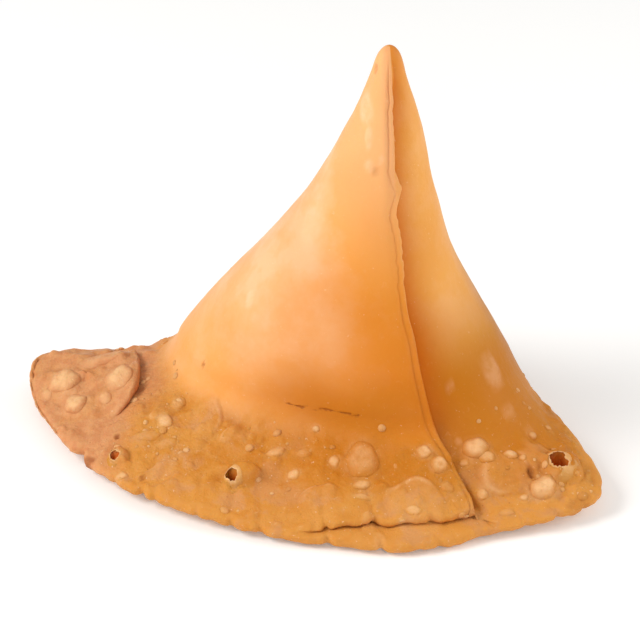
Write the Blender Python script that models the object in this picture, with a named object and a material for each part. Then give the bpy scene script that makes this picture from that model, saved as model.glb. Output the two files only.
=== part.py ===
"""A samosa: a cone of fried dough, folded round on itself, standing on a flat crimped brim.

It is one closed solid that stands on its flat base at z = 0 with its tip up. X runs along the brim
from horn to horn, and the front, where the outer lap ends in the seam, faces -Y. All sizes below are
in millimetres and degrees, and build_solid turns them into metres.
"""

import bmesh
import bpy
import numpy as np

METRES = 0.001

# Driving sizes
HEIGHT = 76.5  # base to tip
CENTRE = (0.61, -5.51)  # middle of the plan, which becomes the origin
SEAM_BEARING = -40.0  # where the seam meets the brim, seen from above and measured from +X
SQUARENESS = 2.15  # exponent of the cone's cross section: 2 is an ellipse
LAP = 1.7  # thickness of the outer lap of dough
LAP_FADE = 24.0  # how far from the seam the lap stands proud of the cone
LAP_SPREAD = 90.0  # and the degrees over which it does, near the tip
VALLEY = 0.9  # how deep the inner panel dips beside the seam
VALLEY_FADE = 7.0
CORNER_RADIUS = 4.0  # rounding of the lap's lower corner
TIP_FADE = 7.0  # the lap melts into the tip over this depth
SEAM_STRIP = 7.0  # degrees each side of the seam that its own columns take up
STEP_REACH = 1.0  # the seam's step and what is beside it, each side
CREVICE = 1.4  # how far the gap between the two lips runs in
LIP_ROUNDING = 0.8  # over which the lap's lip rounds over
RIM_BEND = (0, 0.13, 0.27, 0.4, 0.53, 0.67, 0.76, 0.84, 0.93)  # how far round a plain edge each point is
STEEPEST_RIM = 65.0  # the steepest slope at which a plain edge's rounding begins
RIM_REACH = 1.4  # how far a plain edge's rounding reaches in, in setbacks
LIPS_UP = (1.0, 0.85, 0.5, 0.15, 0.08, -0.05, 0.0, 0.0)  # heights round the two lips, in laps
LIP_SHARE = 0.3  # most of the brim's width that lies outside the lap's lip

# The cone: depth below the tip, centre x and y, then its reach to the left, right, front and back
CONE = np.array([
    (0.0, 11.2, 3.0, 0.0, 0.0, 0.0, 0.0),
    (1.5, 11.2, 3.0, 1.9, 1.9, 1.9, 1.9),
    (6.0, 11.1, 3.0, 3.4, 3.8, 3.4, 3.4),
    (15.0, 10.4, 2.8, 6.0, 6.8, 6.2, 6.0),
    (28.0, 8.4, 2.4, 11.2, 11.6, 10.5, 10.0),
    (42.0, 5.8, 2.2, 19.0, 18.8, 15.8, 15.5),
    (55.0, 4.5, 2.5, 28.2, 27.0, 19.5, 20.5),
    (63.0, 4.0, 3.0, 33.0, 31.8, 20.8, 22.5),
    (70.0, 4.0, 4.0, 34.3, 34.2, 20.5, 22.0),
    (HEIGHT, 4.0, 4.0, 33.5, 34.8, 19.5, 20.5),
])

# The brim, clockwise from the seam: degrees, edge x and y, height of its top at the edge, thickness,
# height of the crease where the cone meets it, and length of the fillet in that crease
BRIM = np.array([
    (0, 40.6, -24.6, 2.9, 2.4, 11.5, 6.0),
    (20, 30.5, -33.2, 2.9, 2.4, 11.5, 5.0),
    (50, 10.0, -38.0, 2.9, 2.4, 11.5, 5.0),
    (80, -12.0, -37.6, 4.0, 2.6, 11.5, 5.0),
    (105, -29.5, -32.5, 4.2, 2.6, 11.3, 5.0),
    (125, -43.0, -23.2, 4.3, 2.6, 10.5, 5.0),
    (138, -53.2, -11.5, 4.8, 3.0, 10.0, 5.0),
    (145, -53.6, -4.5, 5.2, 3.2, 9.6, 5.0),
    (151, -46.5, -1.2, 5.6, 3.4, 9.2, 5.0),
    (158, -36.6, 3.6, 6.2, 4.2, 9.0, 4.0),
    (166, -29.9, 12.3, 6.2, 5.2, 9.2, 3.0),
    (180, -23.9, 19.8, 6.0, 5.6, 9.5, 3.0),
    (200, -14.8, 24.6, 6.0, 5.6, 9.5, 3.0),
    (230, 5.0, 27.5, 6.0, 5.6, 9.5, 3.0),
    (262, 24.0, 24.2, 6.0, 5.6, 9.5, 3.0),
    (278, 31.6, 19.4, 6.4, 5.6, 9.5, 4.0),
    (290, 37.0, 13.8, 6.9, 4.8, 9.6, 7.0),
    (300, 43.5, 7.0, 7.2, 3.8, 10.0, 10.0),
    (310, 50.5, -0.5, 6.4, 3.0, 10.5, 12.0),
    (320, 55.0, -7.5, 5.6, 2.8, 10.5, 14.0),
    (338, 52.3, -15.8, 4.7, 2.6, 10.8, 12.0),
    (350, 47.2, -20.6, 3.8, 2.4, 11.2, 9.0),
])

# How far the seam twists round the cone on its way down: depth below the tip, degrees
TWIST = np.array([(0, 26), (10, 24), (20, 17), (30, 11), (42, 8), (54, 8), (64, 10), (78, 10)])
TWIST_SPREAD = 150.0  # degrees from the seam over which the twist dies away

# The outer lap's lip on the brim: degrees, share of the lap's thickness, setback from the hem below it
LIP = np.array([
    (0, 1.0, 3.6),
    (30, 1.0, 4.6),
    (42, 1.0, 2.0),
    (60, 1.0, 1.4),
    (78, 0.0, 1.2),
    (110, 0.0, 1.2),
    (335, 0.0, 1.8),
    (350, 0.3, 2.8),
])

# The seam's columns of points: distance from the seam towards the lap, share of the lap's height
STEP = ((-0.35, 0.0), (0.0, 0.6), (0.5, 1.0))

# Blisters that stand up from the crust: x, y, radius, height
BLISTERS = (
    (14.8, -16.6, 4.4, 1.6),
    (25.0, -19.9, 6.5, 1.0),
    (-4.2, -24.2, 3.4, 1.6),
    (-15.3, -12.7, 4.4, 0.9),
    (47.5, -2.0, 4.8, 1.9),
    (45.1, -8.8, 3.0, 1.3),
    (33.2, -5.8, 3.0, 1.5),
    (38.3, -9.1, 4.2, 0.9),
    (-47.0, -6.8, 3.6, 1.2),
    (-36.7, -3.0, 3.2, 1.0),
)
BLISTERED_FROM = (1.2, 1.5)  # rows over which blisters begin, between the cone and the brim

# The brim's left corner, turned over on itself: x and y of its middle, half its length and width, height
TURNED_CORNER = (-43.0, -5.9, 12.0, 9.0, 1.3)
TURNED_EDGE = 0.12  # share of its size over which its edge falls away

BASE_CENTRE = (5.0, 4.0)
UNDERSIDE_INSET = 0.12  # the flat base is this much smaller than the cone's foot

# Rows of points, from the tip to the middle of the base
ROWS = {"cone": 20, "fillet": 4, "brim": 8, "rim": 12, "underside": 4, "base": 2}
CONE_ROW_POWER = 1.35  # packs the rows closer together towards the tip
COLUMN_STEP_FRONT = 4.2
COLUMN_STEP_BACK = 7.5
BACK = (165.0, 285.0)

CRUST_COLOUR = (0.78, 0.40, 0.13, 1.0)
CRUST_ROUGHNESS = 0.5


def through(keys, values, at):
    """A smooth curve through the points (keys, values), read at each of at."""
    keys = np.asarray(keys, float)
    slopes = np.gradient(values, keys, axis=0)
    start = np.clip(np.searchsorted(keys, at, side="right") - 1, 0, len(keys) - 2)
    length = keys[start + 1] - keys[start]
    t = (at - keys[start]) / length
    if np.ndim(values) > 1:
        t, length = t[..., None], length[..., None]
    eased = t * t * (3 - 2 * t)
    rise = (t ** 3 - 2 * t * t + t) * length * slopes[start]
    fall = (t ** 3 - t * t) * length * slopes[start + 1]
    return (1 - eased) * values[start] + eased * values[start + 1] + rise + fall


def around(table, turn):
    """The same for a table whose first column is degrees round the samosa."""
    keys = np.concatenate([table[:, 0] - 360, table[:, 0], table[:, 0] + 360])
    values = np.concatenate([table[:, 1:]] * 3)
    return through(keys, values, np.mod(turn, 360.0))


def ease(x):
    x = np.clip(x, 0.0, 1.0)
    return x * x * (3 - 2 * x)


def mix(a, b, share):
    return a + (b - a) * share


def from_seam(turn):
    """Degrees between turn and the seam, either way round."""
    turn = np.mod(turn, 360.0)
    return np.minimum(turn, 360.0 - turn)


def cone_point(depth, turn):
    """Points on the cone at a depth below the tip, turn degrees clockwise from the seam."""
    depth = depth + np.zeros_like(turn)
    middle = through(np.sqrt(CONE[:, 0]), CONE[:, 1:], np.sqrt(np.clip(depth, 0, None)))
    x, y, left, right, front, back = np.moveaxis(middle, -1, 0)
    near = np.clip(1 - from_seam(turn) / TWIST_SPREAD, 0, 1)
    twist = through(TWIST[:, 0], TWIST[:, 1].astype(float), np.clip(depth, 0, 78)) * near ** 2 * (3 - 2 * near)
    bearing = np.radians(SEAM_BEARING - turn - twist)
    east, north = np.cos(bearing), np.sin(bearing)
    power = 2 / SQUARENESS
    x = x + np.where(east > 0, right, left) * np.sign(east) * np.abs(east) ** power
    y = y + np.where(north > 0, back, front) * np.sign(north) * np.abs(north) ** power
    return np.stack([x, y, HEIGHT - depth], -1)


def lip_of(turn, lap_share, seam_distance):
    """The lap's height over the hem at the rim, and its setback, which rounds its lower corner."""
    share = np.interp(turn, LIP[:, 0], LIP[:, 1], period=360)
    setback = np.interp(turn, LIP[:, 0], LIP[:, 2], period=360)
    inside = np.clip(CORNER_RADIUS - seam_distance, 0, CORNER_RADIUS)
    rounding = CORNER_RADIUS - np.sqrt(CORNER_RADIUS ** 2 - inside ** 2)
    return LAP * share * lap_share, setback + rounding


def rim_profile(lap, setback, thickness, slope):
    """Points round the rim: outward from the hem's edge, and up from the hem's top, a row for each point.
    With no lap they are one rounded edge, which carries on from the brim's slope in radians. With a full
    lap they are two lips with a crevice between them."""
    one = np.ones_like(lap)
    rounding = np.minimum(thickness, setback)
    bend = slope + (np.pi / 2 - slope) * np.array(RIM_BEND)[:, None]
    plain_out = -RIM_REACH * setback * (1 - np.sin(bend)) / (1 - np.sin(slope))
    plain_up = -0.5 * thickness * (1 - np.cos(bend) / np.cos(slope))
    lips_out = np.array([
        -setback - LIP_ROUNDING,
        -setback - 0.3 * LIP_ROUNDING,
        -setback,
        -setback - 0.2,
        -setback - CREVICE,
        -setback - CREVICE,
        -setback + 0.1,
        -0.45 * rounding,
        -0.1 * rounding,
    ])
    lips_up = np.array([LAP * up * one for up in LIPS_UP] + [-0.2 * rounding])
    out = mix(plain_out, lips_out, lap / LAP)
    up = mix(plain_up, lips_up, lap / LAP)
    below = ((0.0, -0.5), (-0.15, -0.85), (-0.6, -1.0))
    out = np.concatenate([out, [inward * rounding for inward, _ in below]])
    up = np.concatenate([up, [down * thickness for _, down in below]])
    return out, up


def row_points(row, turn, lap_share, seam_distance):
    """One row of points: row runs from 0 at the tip through the cone (to 1), the fillet (2), the brim (3),
    the rim (4) and the underside (5) to the middle of the base (6)."""
    x, y, top, thickness, crease, fillet = np.moveaxis(around(BRIM, turn), -1, 0)
    if row < 1:
        return cone_point((HEIGHT - crease - fillet) * row ** CONE_ROW_POWER, turn)
    corner = cone_point(HEIGHT - crease, turn)
    edge = np.stack([x, y, top], -1)
    span = edge - corner
    length = np.linalg.norm(span, axis=-1)
    outward = span * (1, 1, 0)
    reach = np.linalg.norm(outward, axis=-1)
    outward /= reach[:, None]
    lap, setback = lip_of(turn, lap_share, seam_distance)
    slope = np.minimum(np.arctan2(crease - top, reach), np.radians(STEEPEST_RIM))
    profile_out, profile_up = rim_profile(lap, np.minimum(setback, LIP_SHARE * reach), thickness, slope)
    brim_start = corner + span / length[:, None] * np.minimum(fillet, 0.55 * length)[:, None]
    if row < 2:
        t = row - 1
        above = cone_point(HEIGHT - crease - fillet, turn)
        return (1 - t) ** 2 * above + 2 * t * (1 - t) * corner + t * t * brim_start
    if row < 3:
        brim_end = edge + outward * profile_out[0][:, None]
        return mix(brim_start, brim_end, row - 2)
    place = min(int(round((row - 3) * len(profile_out))), len(profile_out) - 1)
    rim = edge + outward * profile_out[place][:, None]
    rim[:, 2] += profile_up[place]
    if row < 4:
        return rim
    foot = cone_point(HEIGHT, turn) * (1, 1, 0)
    middle = np.array([*BASE_CENTRE, 0.0])
    base_edge = mix(foot, middle, UNDERSIDE_INSET)
    if row < 5:
        t = row - 4
        inner = mix(rim, base_edge, t)
        inner[:, 2] = rim[:, 2] * (1 - t) ** 2
        return inner
    return mix(base_edge, middle, row - 5)


def columns():
    """The columns of points: degrees from the seam, millimetres from it, and the share of the lap they carry.
    Columns in the strip beside the seam are placed in millimetres, and the rest in degrees."""
    front = np.arange(SEAM_STRIP, BACK[0], COLUMN_STEP_FRONT)
    back = np.arange(BACK[0], BACK[1], COLUMN_STEP_BACK)
    right = np.arange(BACK[1], 360 - SEAM_STRIP + 0.1, COLUMN_STEP_FRONT)
    turned = np.concatenate([front, back, right])
    made = [("step", distance, share) for distance, share in STEP]
    made += [("strip", 0.5, 1.0)]
    made += [("turn", turn, 1.0 if turn < 180 else 0.0) for turn in turned]
    made += [("strip", -0.5, 0.0)]
    return made


def turns_at(row, made):
    """Each column's turn in this row, and its distance from the seam in millimetres."""
    ends = row_points(row, np.array([-1.0, 1.0]), np.zeros(2), np.full(2, 99.0))
    per_degree = max(np.linalg.norm(ends[1] - ends[0]) / 2, 1e-6)
    reach = min(STEP_REACH, 0.5 * SEAM_STRIP * per_degree)
    turn = []
    for kind, value, _ in made:
        if kind == "step":
            turn.append(value * reach / STEP_REACH / per_degree)
        elif kind == "strip":
            turn.append(np.sign(value) * mix(reach / per_degree, SEAM_STRIP, abs(value)))
        else:
            turn.append(value)
    turn = np.array(turn)
    return turn, from_seam(turn) * per_degree


def cone_rows():
    """The row numbers of every row of points, without the two poles."""
    rows = []
    for stage, count in enumerate(ROWS.values()):
        rows += [stage + i / count for i in range(count)]
    return rows[1:]


def lap_relief(row, depth, share, distance, turn):
    """How far the lap stands out over the cone, and how far the inner panel dips beside it."""
    on_brim = ease(row - 1.6)
    lip = LAP * np.interp(turn, LIP[:, 0], LIP[:, 1], period=360)
    on_cone = LAP * np.exp(-(distance / LAP_FADE) ** 2) * ease((LAP_SPREAD - turn) / LAP_SPREAD)
    proud = mix(on_cone, lip, on_brim)
    dip = -VALLEY * np.exp(-(distance / VALLEY_FADE) ** 2) * (1 - on_brim)
    return mix(dip, proud, share) * ease(depth / TIP_FADE)


def blister_relief(points):
    """Height of the blisters and of the turned corner, at points on the upper side."""
    height = np.zeros(len(points))
    for x, y, radius, rise in BLISTERS:
        apart = np.hypot(points[:, 0] - x, points[:, 1] - y) / radius
        height += rise * ease(1.25 - apart)
    x, y, half_length, half_width, rise = TURNED_CORNER
    apart = np.hypot((points[:, 0] - x) / half_length, (points[:, 1] - y) / half_width)
    return height + rise * ease((1 - apart) / TURNED_EDGE)


def upper_side(row, turn, share, distance):
    """Points of a row above the rim, with the lap, the blisters and the turned corner raised along the normal."""
    step = 1e-3
    here = row_points(row, turn, share, distance)
    down = row_points(row + step, turn, share, distance) - row_points(row - step, turn, share, distance)
    along = row_points(row, turn + 1, share, distance) - row_points(row, turn - 1, share, distance)
    normal = np.cross(along, down)
    normal /= np.linalg.norm(normal, axis=-1)[:, None]
    raised = mix(normal, np.array([0, 0, 1.0]), ease(row - 2))
    height = lap_relief(row, HEIGHT - here[:, 2], share, distance, turn)
    begun = ease((row - BLISTERED_FROM[0]) / (BLISTERED_FROM[1] - BLISTERED_FROM[0]))
    height = height + blister_relief(here - (*CENTRE, 0)) * begun * ease((3 - row) * 6)
    return here + raised * height[:, None]


def build_solid(name):
    """The grid of rows and columns, closed by a point at the tip and one in the middle of the base."""
    made = columns()
    share = np.array([column[2] for column in made])
    bm = bmesh.new()
    shift = np.array([*CENTRE, 0.0])
    tip = bm.verts.new((cone_point(0.0, np.zeros(1))[0] - shift) * METRES)
    previous = None
    for row in cone_rows():
        turn, distance = turns_at(row, made)
        if row < 3:
            points = upper_side(row, turn, share, distance)
        else:
            points = row_points(row, turn, share, distance)
        ring = [bm.verts.new(point) for point in (points - shift) * METRES]
        for i in range(len(ring)):
            j = (i + 1) % len(ring)
            if previous is None:
                bm.faces.new((tip, ring[j], ring[i]))
            else:
                bm.faces.new((previous[i], previous[j], ring[j], ring[i]))
        previous = ring
    middle = bm.verts.new((np.array([*BASE_CENTRE, 0.0]) - shift) * METRES)
    for i in range(len(previous)):
        bm.faces.new((previous[i], previous[(i + 1) % len(previous)], middle))
    bmesh.ops.recalc_face_normals(bm, faces=bm.faces)
    mesh = bpy.data.meshes.new(name)
    bm.to_mesh(mesh)
    bm.free()
    return mesh


def crust_material():
    material = bpy.data.materials.new("fried_crust")
    material.use_nodes = True
    shader = material.node_tree.nodes["Principled BSDF"]
    shader.inputs["Base Color"].default_value = CRUST_COLOUR
    shader.inputs["Roughness"].default_value = CRUST_ROUGHNESS
    shader.inputs["Metallic"].default_value = 0.0
    return material


def main():
    for old in list(bpy.data.objects):
        bpy.data.objects.remove(old)
    mesh = build_solid("samosa")
    mesh.materials.append(crust_material())
    mesh.shade_smooth()
    bpy.context.scene.collection.objects.link(bpy.data.objects.new("samosa", mesh))


main()
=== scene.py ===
"""The looks of a fried samosa: a blistered crust of folded dough, its turned corner, bubbles and crumbs.

Sizes in the form and detail sections are in millimetres and degrees. METRES turns them into the frame's
metres when a mesh is made. X runs along the brim, -Y is the front, and the tip points up.
"""

import math

import bmesh
import bpy
import numpy as np
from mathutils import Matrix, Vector, noise
from mathutils.bvhtree import BVHTree


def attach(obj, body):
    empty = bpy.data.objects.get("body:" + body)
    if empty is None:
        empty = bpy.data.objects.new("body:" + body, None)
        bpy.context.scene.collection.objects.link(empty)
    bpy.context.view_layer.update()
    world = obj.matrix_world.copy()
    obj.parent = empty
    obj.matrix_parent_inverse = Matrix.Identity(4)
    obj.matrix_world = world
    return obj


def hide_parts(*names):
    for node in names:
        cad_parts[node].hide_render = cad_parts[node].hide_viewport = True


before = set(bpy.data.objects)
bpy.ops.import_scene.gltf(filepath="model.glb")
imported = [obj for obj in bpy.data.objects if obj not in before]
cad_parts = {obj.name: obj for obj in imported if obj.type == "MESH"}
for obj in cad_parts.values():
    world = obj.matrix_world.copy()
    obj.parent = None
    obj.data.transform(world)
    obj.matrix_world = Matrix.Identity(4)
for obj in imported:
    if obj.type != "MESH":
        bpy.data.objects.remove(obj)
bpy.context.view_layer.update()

METRES = 0.001
BODY = "root"
NODE = "samosa"


# ---------------------------------------------------------------- camera, light and floor

VIEW_TARGET = Vector((1.39, -0.49, 26.0)) * METRES
VIEW_TURN = math.radians(20.0)  # how far the camera stands to the right of the front
VIEW_TILT = math.radians(30.0)  # how far it looks down
VIEW_DISTANCE = 0.430
VIEW_WIDTH = 0.1135  # width seen at the samosa
SENSOR_MM = 36.0

to_viewer = Vector((math.sin(VIEW_TURN), -math.cos(VIEW_TURN), 0.0))
to_right = Vector((math.cos(VIEW_TURN), math.sin(VIEW_TURN), 0.0))
UP = Vector((0.0, 0.0, 1.0))

# Softboxes: distance to the right, towards the viewer and up, side length, watts, colour
SOFTBOXES = {
    "key": (-0.50, 0.12, 0.42, 0.34, 3.1, (1.0, 0.98, 0.96)),
    "fill_right": (0.50, 0.02, 0.26, 0.34, 1.3, (1.0, 0.98, 0.96)),
    "front": (0.05, 0.60, 0.30, 0.40, 0.8, (1.0, 0.99, 0.97)),
}
WORLD_COLOUR = (1.0, 1.0, 1.0, 1.0)
WORLD_STRENGTH = 0.45
FLOOR_COLOUR = (0.93, 0.93, 0.92, 1.0)
FLOOR_GLOW = 0.14
FLOOR_SIZE = 4.0
FLOOR_DROP = 0.0001


def add_object(name, data):
    made = bpy.data.objects.new(name, data)
    bpy.context.scene.collection.objects.link(made)
    return made


def aim(thing, target):
    thing.rotation_euler = (target - thing.location).to_track_quat("-Z", "Y").to_euler()


def add_camera():
    data = bpy.data.cameras.new("view")
    data.sensor_width = SENSOR_MM
    data.lens = SENSOR_MM * VIEW_DISTANCE / VIEW_WIDTH
    camera = add_object("view", data)
    back = to_viewer * math.cos(VIEW_TILT) + UP * math.sin(VIEW_TILT)
    camera.location = VIEW_TARGET + back * VIEW_DISTANCE
    aim(camera, VIEW_TARGET)
    bpy.context.scene.camera = camera


def add_lights():
    for name, (right, near, up, side, watts, colour) in SOFTBOXES.items():
        data = bpy.data.lights.new(name, "AREA")
        data.size = side
        data.energy = watts
        data.color = colour
        light = add_object(name, data)
        light.location = VIEW_TARGET + to_right * right + to_viewer * near + UP * up
        aim(light, VIEW_TARGET)
    world = bpy.data.worlds.new("studio")
    world.use_nodes = True
    background = world.node_tree.nodes["Background"]
    background.inputs["Color"].default_value = WORLD_COLOUR
    background.inputs["Strength"].default_value = WORLD_STRENGTH
    bpy.context.scene.world = world
    bpy.context.scene.view_settings.view_transform = "Standard"


def add_floor():
    half = FLOOR_SIZE / 2
    mesh = bpy.data.meshes.new("floor")
    corners = [(-half, -half), (half, -half), (half, half), (-half, half)]
    mesh.from_pydata([(x, y, -FLOOR_DROP) for x, y in corners], [], [(0, 1, 2, 3)])
    floor = add_object("floor", mesh)
    material = bpy.data.materials.new("pale_floor")
    material.use_nodes = True
    shader = material.node_tree.nodes["Principled BSDF"]
    shader.inputs["Base Color"].default_value = FLOOR_COLOUR
    shader.inputs["Roughness"].default_value = 0.9
    shader.inputs["Emission Color"].default_value = FLOOR_COLOUR
    shader.inputs["Emission Strength"].default_value = FLOOR_GLOW
    mesh.materials.append(material)


# ---------------------------------------------------------------- the form, as its cone, brim and lap

HEIGHT = 76.5
CENTRE = np.array([0.61, -5.51, 0.0])
SEAM_BEARING = -40.0
SQUARENESS = 2.15
LAP = 1.7  # thickness of the outer lap of dough
LAP_FADE = 24.0  # how far from the seam it sinks into the cone
LAP_SPREAD = 90.0  # degrees round from the seam where it is gone
VALLEY = 0.9  # depth of the dip beside the seam
VALLEY_FADE = 7.0
CORNER_RADIUS = 2.6  # of the lap's lower corner
TIP_FADE = 7.0  # depth below the tip over which relief starts
SEAM_STRIP = 7.0  # degrees either side of the seam that its own columns take up
WIDEST_STRIP = 36.0  # degrees, near the tip
STEP_REACH = 3.0  # how far the free edge's columns reach
CREVICE = 1.4  # depth of the gap between the two lips
LIP_ROUNDING = 0.8
RIM_BEND = (0, 0.13, 0.27, 0.4, 0.53, 0.67, 0.76, 0.84, 0.93)
STEEPEST_RIM = 65.0
RIM_REACH = 1.4
LIPS_OUT = (-LIP_ROUNDING, -0.3 * LIP_ROUNDING, 0.0, -0.2, -CREVICE, -CREVICE, 0.1)
LIPS_UP = (1.0, 0.85, 0.5, 0.15, 0.08, -0.05, 0.0, 0.0)
LIP_SHARE = 0.5

# The cone: depth below the tip, centre x and y, then its reach to the left, right, front and back
CONE = np.array([
    (0.0, 11.2, 3.0, 0.0, 0.0, 0.0, 0.0),
    (1.5, 11.2, 3.0, 1.9, 1.9, 1.9, 1.9),
    (6.0, 11.1, 3.0, 3.4, 3.8, 3.4, 3.4),
    (15.0, 10.4, 2.8, 6.0, 6.8, 6.2, 6.0),
    (28.0, 8.4, 2.4, 11.2, 11.6, 10.5, 10.0),
    (42.0, 5.8, 2.2, 19.0, 18.8, 15.8, 15.5),
    (55.0, 4.5, 2.5, 28.2, 27.0, 19.5, 20.5),
    (63.0, 4.0, 3.0, 33.0, 31.8, 20.8, 22.5),
    (70.0, 4.0, 4.0, 34.3, 34.2, 20.5, 22.0),
    (HEIGHT, 4.0, 4.0, 33.5, 34.8, 19.5, 20.5),
])

# The brim, clockwise from the seam: degrees, edge x and y, height of its top at the edge, thickness,
# height of the crease where the cone meets it, and length of the fillet in that crease
BRIM = np.array([
    (0, 40.6, -24.6, 2.9, 2.4, 11.5, 6.0),
    (20, 30.5, -33.2, 2.9, 2.4, 11.5, 5.0),
    (50, 10.0, -38.0, 2.9, 2.4, 11.5, 5.0),
    (80, -12.0, -37.6, 4.0, 2.6, 11.5, 5.0),
    (105, -29.5, -32.5, 4.2, 2.6, 11.3, 5.0),
    (125, -43.0, -23.2, 4.3, 2.6, 10.5, 5.0),
    (138, -53.2, -11.5, 4.8, 3.0, 10.0, 5.0),
    (145, -53.6, -4.5, 5.2, 3.2, 9.6, 5.0),
    (151, -46.5, -1.2, 5.6, 3.4, 9.2, 5.0),
    (158, -36.6, 3.6, 6.2, 4.2, 9.0, 4.0),
    (166, -29.9, 12.3, 6.2, 5.2, 9.2, 3.0),
    (180, -23.9, 19.8, 6.0, 5.6, 9.5, 3.0),
    (200, -14.8, 24.6, 6.0, 5.6, 9.5, 3.0),
    (230, 5.0, 27.5, 6.0, 5.6, 9.5, 3.0),
    (262, 24.0, 24.2, 6.0, 5.6, 9.5, 3.0),
    (278, 31.6, 19.4, 6.4, 5.6, 9.5, 4.0),
    (290, 37.0, 13.8, 6.9, 4.8, 9.6, 7.0),
    (300, 43.5, 7.0, 7.2, 3.8, 10.0, 10.0),
    (310, 50.5, -0.5, 6.4, 3.0, 10.5, 12.0),
    (320, 55.0, -7.5, 5.6, 2.8, 10.5, 14.0),
    (338, 52.3, -15.8, 4.7, 2.6, 10.8, 12.0),
    (350, 47.2, -20.6, 3.8, 2.4, 11.2, 9.0),
])

TWIST = np.array([(0, 26), (10, 24), (20, 17), (30, 11), (42, 8), (54, 8), (64, 10), (78, 10)], float)
TWIST_SPREAD = 150.0

# Notches in the hem: degrees, depth and half width in degrees
NOTCHES = (
    (114.5, 1.5, 1.5),
    (101.0, 0.4, 0.8),
    (92.0, 0.7, 0.9),
    (88.0, 0.5, 0.8),
    (76.0, 0.4, 0.7),
    (67.0, 0.7, 0.9),
    (59.5, 0.9, 1.1),
    (43.0, 0.8, 1.0),
    (30.0, 0.7, 1.0),
    (15.0, 0.6, 1.2),
    (352.0, 0.7, 1.0),
    (343.0, 0.8, 1.2),
    (333.0, 0.5, 1.0),
)

# The lap's lip on the brim: degrees, share of the lap's thickness, setback from the hem below it
LIP = np.array([
    (0, 1.0, 3.6),
    (30, 1.0, 4.6),
    (40, 1.0, 2.2),
    (52, 0.0, 1.2),
    (110, 0.0, 1.2),
    (335, 0.0, 1.8),
    (350, 0.3, 2.8),
])

# The lap's free edge, column by column: millimetres from the seam towards the lap, share of its height.
# The columns run in under the lap, back out along its underside, round its edge and on to its top.
FREE_EDGE = (
    (-2.4, 0.0), (-1.7, 0.0), (-1.1, 0.0), (-0.6, 0.0), (-0.15, 0.0), (0.3, 0.01), (0.8, 0.06), (1.0, 0.15),
    (0.7, 0.24), (0.3, 0.30), (0.0, 0.37), (-0.12, 0.50), (-0.12, 0.66), (0.0, 0.79), (0.25, 0.86),
    (0.6, 0.87), (0.95, 0.87), (1.15, 0.81), (1.35, 0.84), (1.6, 0.95), (2.0, 1.0), (2.5, 1.02),
)
EDGE_BULGES = (  # along the free edge: height of the middle, half its length, how far it bulges out
    (53.5, 2.0, 1.0),
    (43.0, 3.6, 0.5),
    (36.0, 3.0, 0.3),
    (29.0, 3.0, 0.3),
    (68.5, 2.0, 0.2),
)
FOLDED_FROM = (4.0, 9.0)  # depths below the tip over which the free edge opens out
FRAYED = (40.0, 72.0)  # heights between which the free edge is frayed
FRAY = 0.42
EDGE_WAVE = 0.18
CORNER_ROUNDING = 1.4  # how far the free edge turns in at the lap's lower corner

ROWS = {"cone": 122, "fillet": 14, "brim": 46, "rim": 24, "underside": 7, "base": 3}
CONE_ROW_POWER = 1.3
STRIP_COLUMNS = 6
FRONT_STEP = 0.62
BACK_STEP = 2.2
RIGHT_STEP = 0.66
BACK = (165.0, 285.0)
BASE_CENTRE = (5.0, 4.0)
UNDERSIDE_INSET = 0.12


def ease(x):
    x = np.clip(x, 0.0, 1.0)
    return x * x * (3 - 2 * x)


def between(x, start, end):
    return ease((x - start) / (end - start))


def mix(a, b, share):
    return a + (b - a) * share


def bell(x, width):
    return np.exp(-(x / width) ** 2)


def unit(vectors):
    return vectors / np.maximum(np.linalg.norm(vectors, axis=-1, keepdims=True), 1e-9)


def hermite(t, start, end, leaving, arriving):
    """The smooth curve from start to end, with its slope at each."""
    eased = t * t * (3 - 2 * t)
    bent = (t ** 3 - 2 * t * t + t) * leaving + (t ** 3 - t * t) * arriving
    return (1 - eased) * start + eased * end + bent


def through(keys, values, at):
    """A smooth curve through the points (keys, values), read at each of at."""
    keys = np.asarray(keys, float)
    slopes = np.gradient(values, keys, axis=0)
    start = np.clip(np.searchsorted(keys, at, side="right") - 1, 0, len(keys) - 2)
    length = keys[start + 1] - keys[start]
    t = (at - keys[start]) / length
    if np.ndim(values) > 1:
        t, length = t[..., None], length[..., None]
    end = start + 1
    return hermite(t, values[start], values[end], length * slopes[start], length * slopes[end])


def around(table, turn):
    """The same for a table whose first column is degrees round the samosa."""
    keys = np.concatenate([table[:, 0] - 360, table[:, 0], table[:, 0] + 360])
    values = np.concatenate([table[:, 1:]] * 3)
    return through(keys, values, np.mod(turn, 360.0))


def from_seam(turn):
    turn = np.mod(turn, 360.0)
    return np.minimum(turn, 360.0 - turn)


def rough(points, size, seed):
    """Smooth noise between about -1 and 1, with bumps about size millimetres across."""
    flat = (np.asarray(points).reshape(-1, 3) / size + seed * 13.7).tolist()
    values = np.array([noise.noise(Vector(p)) for p in flat])
    return values.reshape(np.shape(points)[:-1])


def bubbled(points, size, seed, share):
    """Little domes, one in some cells of a cell pattern: 1 at a dome's top and 0 between them."""
    flat = (np.asarray(points).reshape(-1, 3) / size + seed * 7.1).tolist()
    values = []
    for p in flat:
        distances, nearest = noise.voronoi(Vector(p))
        chosen = noise.cell(nearest[0] * 9.7) * 0.5 + 0.5 < share
        values.append(max(0.0, 1 - (distances[0] / 0.42) ** 2) if chosen else 0.0)
    return np.array(values).reshape(np.shape(points)[:-1])


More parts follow.
